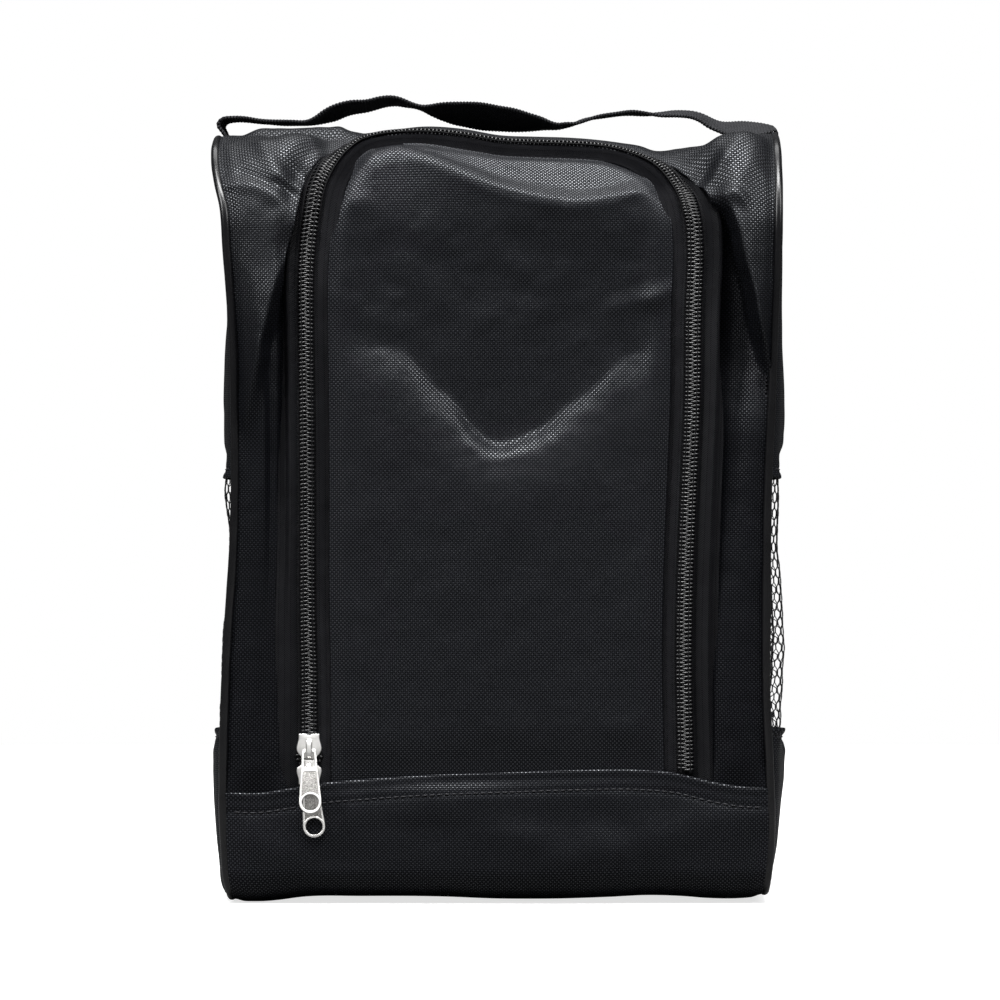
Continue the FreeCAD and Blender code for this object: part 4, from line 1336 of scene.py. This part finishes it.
def build_piping(name, sign):
    batch = Batch()
    runs = loop_runs(620)
    wobble = 0.10 * noise(runs, 0, 9, 81 + (sign > 0)) + 0.10 * noise(runs, 0, 27, 83)
    batch.add_tube(on_cloth(sign * PIPE_X, runs, -0.95), 1.95 + wobble, 18, closed=True,
                   up=(1, 0, 0))
    add_ring_strip(batch, sign, runs, FLANGE_SECTION)
    return batch.build(name, PIPING)


def build_binding(name, sign):
    batch = Batch()
    add_ring_strip(batch, sign, loop_runs(320), BINDING_SECTION)
    ob = batch.build(name, BINDING)
    fix_normals(ob)
    return ob


# ---------------------------------------------------------------- carry strap
STRAP_HALF_WIDTH = 12.5
STRAP_HALF_THICK = 0.78
# x, z, roll of the sewn ends
STRAP_START = [(-121.5, 323.0, 0.0), (-121.6, 331.0, 0.0), (-122.0, 338.0, 0.0),
               (-124.4, 342.6, 0.02)]
STRAP_FINISH = [(124.9, 341.6, -0.02), (122.6, 338.0, 0.0), (121.7, 331.0, 0.0),
                (121.6, 323.0, 0.0)]
# x, z of the centreline and the height the rolled strap shows from the front
STRAP_STATIONS = [
    (-126.2, 346.0, 9), (-124.6, 348.0, 8), (-120.5, 348.7, 6), (-114.8, 348.7, 5),
    (-107.6, 347.8, 5), (-100.3, 347.2, 5), (-93.1, 347.2, 5), (-85.9, 347.3, 6),
    (-82.2, 348.4, 9), (-78.6, 350.1, 13), (-75, 351.6, 16), (-71.4, 353, 16),
    (-67.8, 353.9, 15), (-60.5, 354.8, 12), (-53.3, 356.6, 12), (-49.7, 357, 11),
    (-46.1, 356.8, 9), (-42.5, 355.9, 7), (-38.9, 355, 5), (-35.2, 353.9, 6), (-31.6, 353, 11),
    (-28, 352.5, 16), (-24.4, 352.1, 20), (-20.8, 351.6, 24), (-13.6, 350.7, 28),
    (-2.7, 349.4, 28), (4.5, 348.5, 26), (11.7, 347.6, 20), (19, 346.7, 14), (22.6, 345.9, 9),
    (26.2, 345.5, 6), (29.8, 346.2, 5), (33.4, 346.7, 7), (37.1, 348, 8), (44.3, 349.8, 7),
    (51.5, 351, 6), (58.7, 351.6, 5), (66, 351.2, 7), (73.2, 350.9, 10), (80.4, 351.2, 13),
    (87.7, 350.6, 14), (91.3, 349.2, 15), (94.9, 347.0, 17), (98.5, 345.5, 18),
    (102.1, 344.6, 20), (108.5, 344.2, 22), (115.2, 344.2, 21), (120.2, 344.4, 17),
    (124.2, 344.2, 10),
]
ROLL_FLIP_X = 31.6      # the strap rolls the other way right of here


def strap_roll(x, shown):
    roll = math.asin(min(max(shown - 5.0, 0) / 57.0, 0.9))
    return roll if x < ROLL_FLIP_X else -roll


def strap_curve():
    """dense centreline as rows of x, z, roll, and the distance of each row along it"""
    stations = [(x, z, strap_roll(x, shown)) for x, z, shown in STRAP_STATIONS]
    points = np.array(STRAP_START + stations + STRAP_FINISH)
    steps = np.hypot(np.diff(points[:, 0]), np.diff(points[:, 1]))
    lengths = np.concatenate([[0], np.cumsum(steps)])
    along = np.arange(0, lengths[-1], 0.35)
    rows = np.stack([curve(along, np.stack([lengths, column], 1)) for column in points.T], 1)
    for _ in range(14):
        rows[1:-1] = (rows[:-2] + 2 * rows[1:-1] + rows[2:]) / 4
    return rows, along


def build_strap():
    """the strap in five parts, keyed by object name"""
    rows, along = strap_curve()
    x, z, roll = rows.T
    count = len(along)
    heading = unit(np.gradient(rows[:, :2], axis=0))
    # the strap's own upper side, in XZ
    upper_x, upper_z = -heading[:, 1][:, None], heading[:, 0][:, None]
    shares = np.array([0.2, 0.45, 0.7, 0.9, 0.955, 0.985, 1])
    half_across = np.concatenate([-shares[::-1], [0], shares]) * STRAP_HALF_WIDTH
    rounding = np.array([0.35, 0.7, 0.95])
    half_up = np.concatenate([rounding, np.ones(9), rounding[::-1]]) * STRAP_HALF_THICK
    # section round the strap; across is positive towards the back
    across = np.concatenate([half_across, half_across[::-1]])
    up = np.concatenate([half_up, -half_up[::-1]])
    cols, half = len(across), len(half_across)
    cos, sin = np.cos(roll)[:, None], np.sin(roll)[:, None]
    far = np.abs(across) / STRAP_HALF_WIDTH
    distance = along[:, None]
    yarn_phase = distance * 2 * pi / 1.5
    wave = (0.25 * np.sin(distance / 2.9 + across * 0.35) * far ** 2
            + 0.26 * np.sin(yarn_phase + 1.0) * (far > 0.9))
    # the edges scallop a little
    scallop = np.sign(across) * 0.26 * np.sin(yarn_phase) * (far > 0.95)
    y = across * cos + up * sin + scallop
    rise = -across * sin + up * cos + wave * 0.6
    points = np.stack([x[:, None] + upper_x * rise, y, z[:, None] + upper_z * rise], -1)

    def part(name, start, end):
        length = end - start
        caps = [(row * cols + k, row * cols + k + 1, row * cols + cols - 2 - k,
                 row * cols + cols - 1 - k) for row in (0, length - 1) for k in range(half - 1)]
        faces = np.concatenate([grid_faces(length, cols, wrap_cols=True), np.array(caps)])
        uvs = np.stack([np.tile(across, length), np.repeat(along[start:end], cols)], 1)
        ob = make_mesh(name, points[start:end].reshape(-1, 3), [faces], uvs, WEBBING)
        fix_normals(ob)
        return ob

    cuts = [0, int(np.argmax(z > 343.4)), int(np.argmin(np.abs(x + 50))),
            int(np.argmin(np.abs(x - 50))), count - 1 - int(np.argmax(z[::-1] > 342.4)),
            count - 1]
    names = ["strap_end_left", "strap_left_leg", "strap_grip", "strap_right_leg",
             "strap_end_right"]
    return {name: part(name, cuts[i], cuts[i + 1] + 1) for i, name in enumerate(names)}


def build_tacks(name, sign):
    """rows of stitches across a sewn strap end"""
    batch = Batch()
    for height in (324.5, 328.0, 336.5):
        def place(y, lift):
            return np.stack([sign * (122.55 + lift), y, np.full(y.shape, height)], -1)

        add_stitches(batch, place, 11.5, pitch=2.5, length=2.0, radius=0.3, rise=0.25)
    return batch.build(name, THREAD)


# ---------------------------------------------------------------- metal helpers
def plate(name, outlines, thick, bevel, mat):
    """flat plate from closed outlines (holes included), in local XY and centred in Z, in mm"""
    outline_curve = bpy.data.curves.new(name, "CURVE")
    outline_curve.dimensions = "2D"
    outline_curve.fill_mode = "BOTH"
    outline_curve.extrude = thick / 2 - bevel
    outline_curve.bevel_depth = bevel
    outline_curve.bevel_resolution = 3
    outline_curve.offset = -bevel
    for outline in outlines:
        spline = outline_curve.splines.new("POLY")
        spline.points.add(len(outline) - 1)
        for point, (x, y) in zip(spline.points, outline):
            point.co = (x, y, 0, 1)
        spline.use_cyclic_u = True
    curve_ob = bpy.data.objects.new(name, outline_curve)
    bpy.context.scene.collection.objects.link(curve_ob)
    depsgraph = bpy.context.evaluated_depsgraph_get()
    mesh = bpy.data.meshes.new_from_object(curve_ob.evaluated_get(depsgraph))
    bpy.data.objects.remove(curve_ob)
    bpy.data.curves.remove(outline_curve)
    bm = bmesh.new()
    bm.from_mesh(mesh)
    bmesh.ops.remove_doubles(bm, verts=bm.verts, dist=1e-4)
    bmesh.ops.recalc_face_normals(bm, faces=bm.faces)
    for face in bm.faces:
        face.smooth = True
    for edge in bm.edges:
        sharp = len(edge.link_faces) != 2 or edge.calc_face_angle(0) > math.radians(38)
        edge.smooth = not sharp
    bm.to_mesh(mesh)
    bm.free()
    mesh.materials.clear()
    mesh.materials.append(mat)
    ob = bpy.data.objects.new(name, mesh)
    bpy.context.scene.collection.objects.link(ob)
    return ob


def place_plate(ob, to_case):
    """move a plate's points by to_case(x, y, z) and scale them to metres"""
    points = np.zeros(len(ob.data.vertices) * 3)
    ob.data.vertices.foreach_get("co", points)
    points = np.stack(to_case(*points.reshape(-1, 3).T), 1) * MM
    ob.data.vertices.foreach_set("co", points.astype(np.float32).ravel())
    ob.data.update()
    return ob


def join(name, parts):
    bpy.ops.object.select_all(action="DESELECT")
    for part in parts:
        part.select_set(True)
    bpy.context.view_layer.objects.active = parts[0]
    bpy.ops.object.join()
    ob = bpy.context.view_layer.objects.active
    ob.name = name
    fix_normals(ob)
    ob.select_set(False)
    return ob


def round_corners(points, radius, count):
    """polygon with each corner replaced by count points of a curve"""
    rounded = []
    points = [np.array(point, float) for point in points]
    for i, corner in enumerate(points):
        back, ahead = points[i - 1] - corner, points[(i + 1) % len(points)] - corner
        back_length, ahead_length = np.linalg.norm(back), np.linalg.norm(ahead)
        cut = min(radius, back_length * 0.45, ahead_length * 0.45)
        start, end = corner + back / back_length * cut, corner + ahead / ahead_length * cut
        for part in np.linspace(0, 1, count):
            x, y = (1 - part) ** 2 * start + 2 * part * (1 - part) * corner + part * part * end
            rounded.append((float(x), float(y)))
    return rounded


def arc(radius, centre_y, angles):
    return [(radius * math.cos(angle), centre_y + radius * math.sin(angle)) for angle in angles]


def mirrored(points):
    return [(-x, y) for x, y in reversed(points)]


# ---------------------------------------------------------------- sliders
# half plan, (x, height) from the shoulder down to the narrow end; the lower slider is flipped
SHOULDER = [(4.6, 5.5), (4.65, 3.2), (5.2, 1.2), (5.6, -0.6)]
UPPER_PLAN = SHOULDER + [(5.4, -2.0), (4.5, -3.5), (3.5, -4.5), (2.5, -4.9), (2.1, -5.35),
                         (1.2, -5.5)]
LOWER_PLAN = SHOULDER + [(5.3, -1.9), (4.1, -2.7), (3.1, -3.6), (2.5, -4.6), (2.1, -5.35),
                         (1.2, -5.5)]
NOTCH = [(-1.1, 5.5), (-0.75, 4.95), (0.75, 4.95), (1.1, 5.5)]
WALL = [(4.35, 5.2), (4.5, 3.2), (5.05, 1.2), (5.35, -0.6), (5.0, -1.8), (4.2, -2.5),
        (3.98, -1.6), (3.98, 5.2)]
POST = [(-0.5, -5.0), (0.5, -5.0), (0.5, -1.6), (-0.5, -1.6)]
# the crown, a bridge seen from the side: (height, distance out from the front)
CROWN = [(3.6, 2.6), (3.45, 4.1), (2.7, 5.1), (1.2, 5.55)]
UPPER_CROWN = CROWN + [(-3.0, 5.6), (-4.6, 5.0), (-5.25, 3.9), (-5.3, 2.6)]
LOWER_CROWN = CROWN + [(-2.9, 5.5), (-3.9, 4.9), (-4.2, 3.9), (-4.25, 2.6)]
CROWN_HOLE = [(1.7, 2.95), (1.5, 4.0), (0.8, 4.4), (-2.6, 4.4), (-3.2, 4.0), (-3.3, 2.95)]


def build_slider(name, middle_z, plan, crown, upward):
    """upward is 1, or -1 for a slider turned upside down"""
    body = plan + mirrored(plan)
    parts = []

    def add(suffix, outline, thick, bevel, out):
        ob = plate(name + suffix, [outline], thick, bevel, NICKEL)
        parts.append(place_plate(ob, lambda x, y, z: (
            -ZIP_X + x, -HALF_DEPTH - (out + z), middle_z + upward * y)))

    add("_b", round_corners(body, 0.5, 4), thick=1.2, bevel=0.35, out=-2.7)
    add("_t", round_corners(body + NOTCH, 0.45, 4), thick=1.3, bevel=0.42, out=2.25)
    for sign in (1, -1):
        wall = [(x * sign, y) for x, y in WALL]
        add("_w%d" % sign, round_corners(wall, 0.3, 3), thick=2.7, bevel=0.15, out=0.35)
    add("_p", round_corners(POST, 0.3, 3), thick=3.9, bevel=0.1, out=-0.2)
    bridge = plate(name + "_c", [round_corners(crown, 0.9, 5), round_corners(CROWN_HOLE, 0.4, 4)],
                   2.7, 0.55, NICKEL)
    parts.append(place_plate(bridge, lambda x, y, z: (
        -ZIP_X + z, -HALF_DEPTH - y, middle_z + upward * x)))
    return join(name, parts)


# ---------------------------------------------------------------- pull tabs
# (x, height) with the crossbar at 0
PULL_LEFT = [(-3.35, -4), (-3.6, -8), (-4.1, -13), (-4.9, -22)]
PULL_EYE = -23.35       # height of the round eye
PULL_WINDOW = [(-2.0, -0.75), (2.0, -0.75), (2.35, -7.4), (-2.35, -7.4)]


def build_pull(name, pivot, tilt, swing):
    """pull tab hung at pivot; tilt and swing in degrees"""
    tilt, swing = math.radians(tilt), math.radians(swing)

    def hang(x, y, z):
        x, z = (x * math.cos(swing) - z * math.sin(swing),
                x * math.sin(swing) + z * math.cos(swing))
        y, z = (y * math.cos(tilt) + z * math.sin(tilt),
                -y * math.sin(tilt) + z * math.cos(tilt))
        return x + pivot[0], y + pivot[1], z + pivot[2]

    def add(suffix, outlines, thick, bevel, mat):
        ob = plate(name + suffix, outlines, thick, bevel, mat)
        parts.append(place_plate(ob, lambda x, y, z: hang(x, -z, y)))

    parts = []
    end = arc(4.95, PULL_EYE, np.linspace(pi + 0.06, 2 * pi - 0.06, 26))
    outline = ([(-3.0, 0.2)] + PULL_LEFT + end + mirrored(PULL_LEFT)
               + [(3.0, 0.2), (2.45, 0.75), (-2.45, 0.75)])
    eye = arc(3.65, PULL_EYE, 2 * pi * np.arange(40) / 40)
    over_eye = arc(4.62, PULL_EYE, np.linspace(math.radians(36), math.radians(144), 15))
    panel = ([(-2.3, -9.45), (2.3, -9.45), (2.72, -9.75), (2.82, -10.3)] + over_eye
             + [(-2.82, -10.3), (-2.72, -9.75)])
    inset = [(x * 1.02, z + (0.08 if z > -12 else -0.08)) for x, z in panel]
    add("_plate", [outline, eye, round_corners(PULL_WINDOW, 0.7, 5), panel], 1.2, 0.30, NICKEL)
    add("_panel", [inset], 0.66, 0.05, NICKEL_SANDED)
    # crossbar that hangs in the crown
    bar_x = np.linspace(-2.6, 2.6, 9)
    verts, quads, tris, uvs = tube(np.stack([bar_x, 0 * bar_x, 0 * bar_x], 1), 0.6, 14)
    parts.append(make_mesh(name + "_bar", np.stack(hang(*verts.T), 1), [quads, tris], uvs, NICKEL))
    return join(name, parts)


# ---------------------------------------------------------------- build and attach
# two points in metres, handed with the flap's pieces to attach_blend
FLAP_FOLD = ((0.0, -0.0660, 0.070), (0.0, -0.0660, 0.100))


def attach(ob, body, slot, *nodes):
    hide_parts(*nodes)
    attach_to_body(ob, body)


def attach_blend(ob, first, second, fold, slot, *nodes):
    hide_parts(*nodes)
    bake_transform(ob)


attach(build_surround(), "shell", "polyester", "front_surround")
attach(build_back(), "shell", "polyester", "back_panel")
attach(build_band(), "shell", "polyester", "base_band")
attach(build_band_stitch(), "shell", "thread", "band_topstitch")
attach(build_tape("zip_tape_outer", 1), "shell", "tape", "zip_tape_outer")
attach(build_coil("zip_coil_outer", 1), "shell", "zip_coil", "zip_coil_outer")
attach_blend(build_flap(), "shell", "flap", FLAP_FOLD, "polyester", "flap_panel", "flap_root")
attach_blend(build_tape("zip_tape_inner", -1), "shell", "flap", FLAP_FOLD, "tape",
             "zip_tape_inner", "zip_tape_inner_root")
attach_blend(build_coil("zip_coil_inner", -1), "shell", "flap", FLAP_FOLD, "zip_coil",
             "zip_coil_inner", "zip_coil_inner_root")


def build_upper_panel(name, sign):
    return build_side_panel(name, sign, on_upper, UPPER_ROWS)


def build_lower_panel(name, sign):
    return build_side_panel(name, sign, on_lower, LOWER_ROWS)


SIDE_PIECES = [
    ("side_upper_", build_upper_panel, "polyester"),
    ("side_lower_", build_lower_panel, "polyester"),
    ("side_topstitch_", build_side_stitch, "thread"),
    ("side_mesh_", build_net, "mesh_net"),
    ("piping_", build_piping, "piping_vinyl"),
    ("seam_binding_", build_binding, "tape"),
    ("strap_tack_", build_tacks, "thread"),
]
for sign, side in SIDES:
    for prefix, build, slot in SIDE_PIECES:
        attach(build(prefix + side, sign), "shell", slot, prefix + side)

strap = build_strap()
for name, body in (("strap_end_left", "shell"), ("strap_end_right", "shell"),
                   ("strap_grip", "handle_grip")):
    attach(strap[name], body, "webbing", name)
for sign, side in SIDES:
    name = "strap_%s_leg" % side
    fold = ((sign * 0.122, 0, 0.345), (sign * 0.050, 0, 0.345))
    attach_blend(strap[name], "shell", "handle_grip", fold, "webbing", name)

attach(build_slider("upper_slider_body", 69.9, UPPER_PLAN, UPPER_CROWN, upward=1),
       "upper_slider", "nickel", "upper_slider_body")
attach(build_slider("lower_slider_body", 58.55, LOWER_PLAN, LOWER_CROWN, upward=-1),
       "lower_slider", "nickel", "lower_slider_body")
attach(build_pull("upper_pull_tab", (-ZIP_X, -67.15, 67.9), tilt=18.0, swing=2.0),
       "upper_pull", "nickel", "upper_pull_tab")
attach(build_pull("lower_pull_tab", (-ZIP_X, -67.15, 57.95), tilt=1.0, swing=5.5),
       "lower_pull", "nickel", "lower_pull_tab")


# ---------------------------------------------------------------- floor and world
def split_camera_rays(tree, lighting, seen, output):
    """show one shader to the camera and another to all other rays"""
    path = tree.nodes.new("ShaderNodeLightPath")
    mix = tree.nodes.new("ShaderNodeMixShader")
    tree.links.new(path.outputs["Is Camera Ray"], mix.inputs[0])
    tree.links.new(lighting.outputs[0], mix.inputs[1])
    tree.links.new(seen.outputs[0], mix.inputs[2])
    tree.links.new(mix.outputs[0], tree.nodes[output].inputs[0])


def floor_material():
    graph = Graph("floor_pale")
    material = graph.finish(
        Base_Color=(0.5, 0.5, 0.5, 1.0), Roughness=0.9, Specular_IOR_Level=0.1,
        Emission_Color=(1.0, 1.0, 1.0, 1.0), Emission_Strength=0.72)
    nodes = graph.tree.nodes
    diffuse = nodes.new("ShaderNodeBsdfDiffuse")
    diffuse.inputs[0].default_value = (0.14, 0.14, 0.14, 1.0)
    split_camera_rays(graph.tree, diffuse, nodes["Principled BSDF"], "Material Output")
    return material


def build_floor():
    corners = [(x, y, -0.2) for x in (-3500.0, 3500.0) for y in (-3400.0, 900.0)]
    ob = make_mesh("floor_plane", corners, [[(0, 1, 3, 2)]], None, floor_material())
    return ob


def build_world():
    world = bpy.data.worlds.new("studio")
    world.use_nodes = True
    tree = world.node_tree
    lighting = tree.nodes["Background"]
    seen = tree.nodes.new("ShaderNodeBackground")
    for node, strength in ((lighting, 0.08), (seen, 1.0)):
        node.inputs[0].default_value = (1.0, 1.0, 1.0, 1.0)
        node.inputs[1].default_value = strength
    split_camera_rays(tree, lighting, seen, "World Output")
    return world


floor = build_floor()
scene = bpy.context.scene
scene.view_settings.view_transform = "Standard"
scene.view_settings.look = "None"
scene.world = build_world()

# ---------------------------------------------------------------- lights and camera, metres
# name, place, target, size, second size, power, group lit (None for everything)
LIGHTS = [
    ("key_top", (0.0, -0.68, 1.95), (0, -0.03, 0.25), 1.6, 0.6, 76.0, None),
    ("key_mid", (-0.2, -1.45, 1.55), (0, -0.03, 0.25), 1.6, 0.5, 1.0, None),
    ("top_back", (0.0, 0.5, 1.8), (0, 0, 0.3), 1.6, 0.8, 14.0, None),
    ("side_left", (-1.25, -0.75, 1.20), (0, 0, 0.28), 0.5, 0.8, 17.0, None),
    ("side_right", (1.25, -0.75, 1.20), (0, 0, 0.28), 0.5, 0.8, 12.0, None),
    ("metal_fill", (0.1, -2.6, 0.9), (-0.084, -0.07, 0.05), 2.2, 1.6, 20.0, "metal"),
    ("metal_low", (-0.05, -0.62, 0.05), (-0.084, -0.07, 0.03), 0.5, 0.12, 0.05, "metal"),
    ("back_fill", (0.3, 1.9, 1.35), (0, 0.06, 0.18), 1.2, 0.9, 30.0, "rear"),
    ("floor_wash", (0, -0.6, 2.8), (0, -0.6, 0.0), 3.4, 3.0, 60.0, "pale"),
]


def named_objects(*prefixes):
    return [ob for ob in scene.objects if ob.name.startswith(prefixes) and not ob.hide_render]


def light_group(name, members):
    group = bpy.data.collections.new(name)
    for ob in members:
        group.objects.link(ob)
    return group


def add_aimed(name, data, place, target):
    ob = bpy.data.objects.new(name, data)
    scene.collection.objects.link(ob)
    ob.location = place
    ob.rotation_mode = "QUATERNION"
    ob.rotation_quaternion = (Vector(target) - Vector(place)).to_track_quat("-Z", "Y")
    return ob


groups = {
    "metal": light_group("metal", named_objects("upper_slider_body", "lower_slider_body",
                                                "upper_pull_tab", "lower_pull_tab")),
    "rear": light_group("rear", named_objects("back_panel", "base_band", "band_topstitch")),
    "pale": light_group("pale", [floor]),
}
for name, place, target, size, size_y, power, group in LIGHTS:
    light = bpy.data.lights.new(name, "AREA")
    light.shape = "RECTANGLE"
    light.size = size
    light.size_y = size_y
    light.energy = power
    light_ob = add_aimed(name, light, place, target)
    if group:
        light_ob.light_linking.receiver_collection = groups[group]

camera_data = bpy.data.cameras.new("camera")
camera_data.sensor_width = 36.0
camera_data.lens = 180.05
camera_data.clip_start = 0.05
camera_data.clip_end = 50.0
scene.camera = add_aimed("camera", camera_data, (0, -2.2635, 0.230), (0, -0.0635, 0.1782))
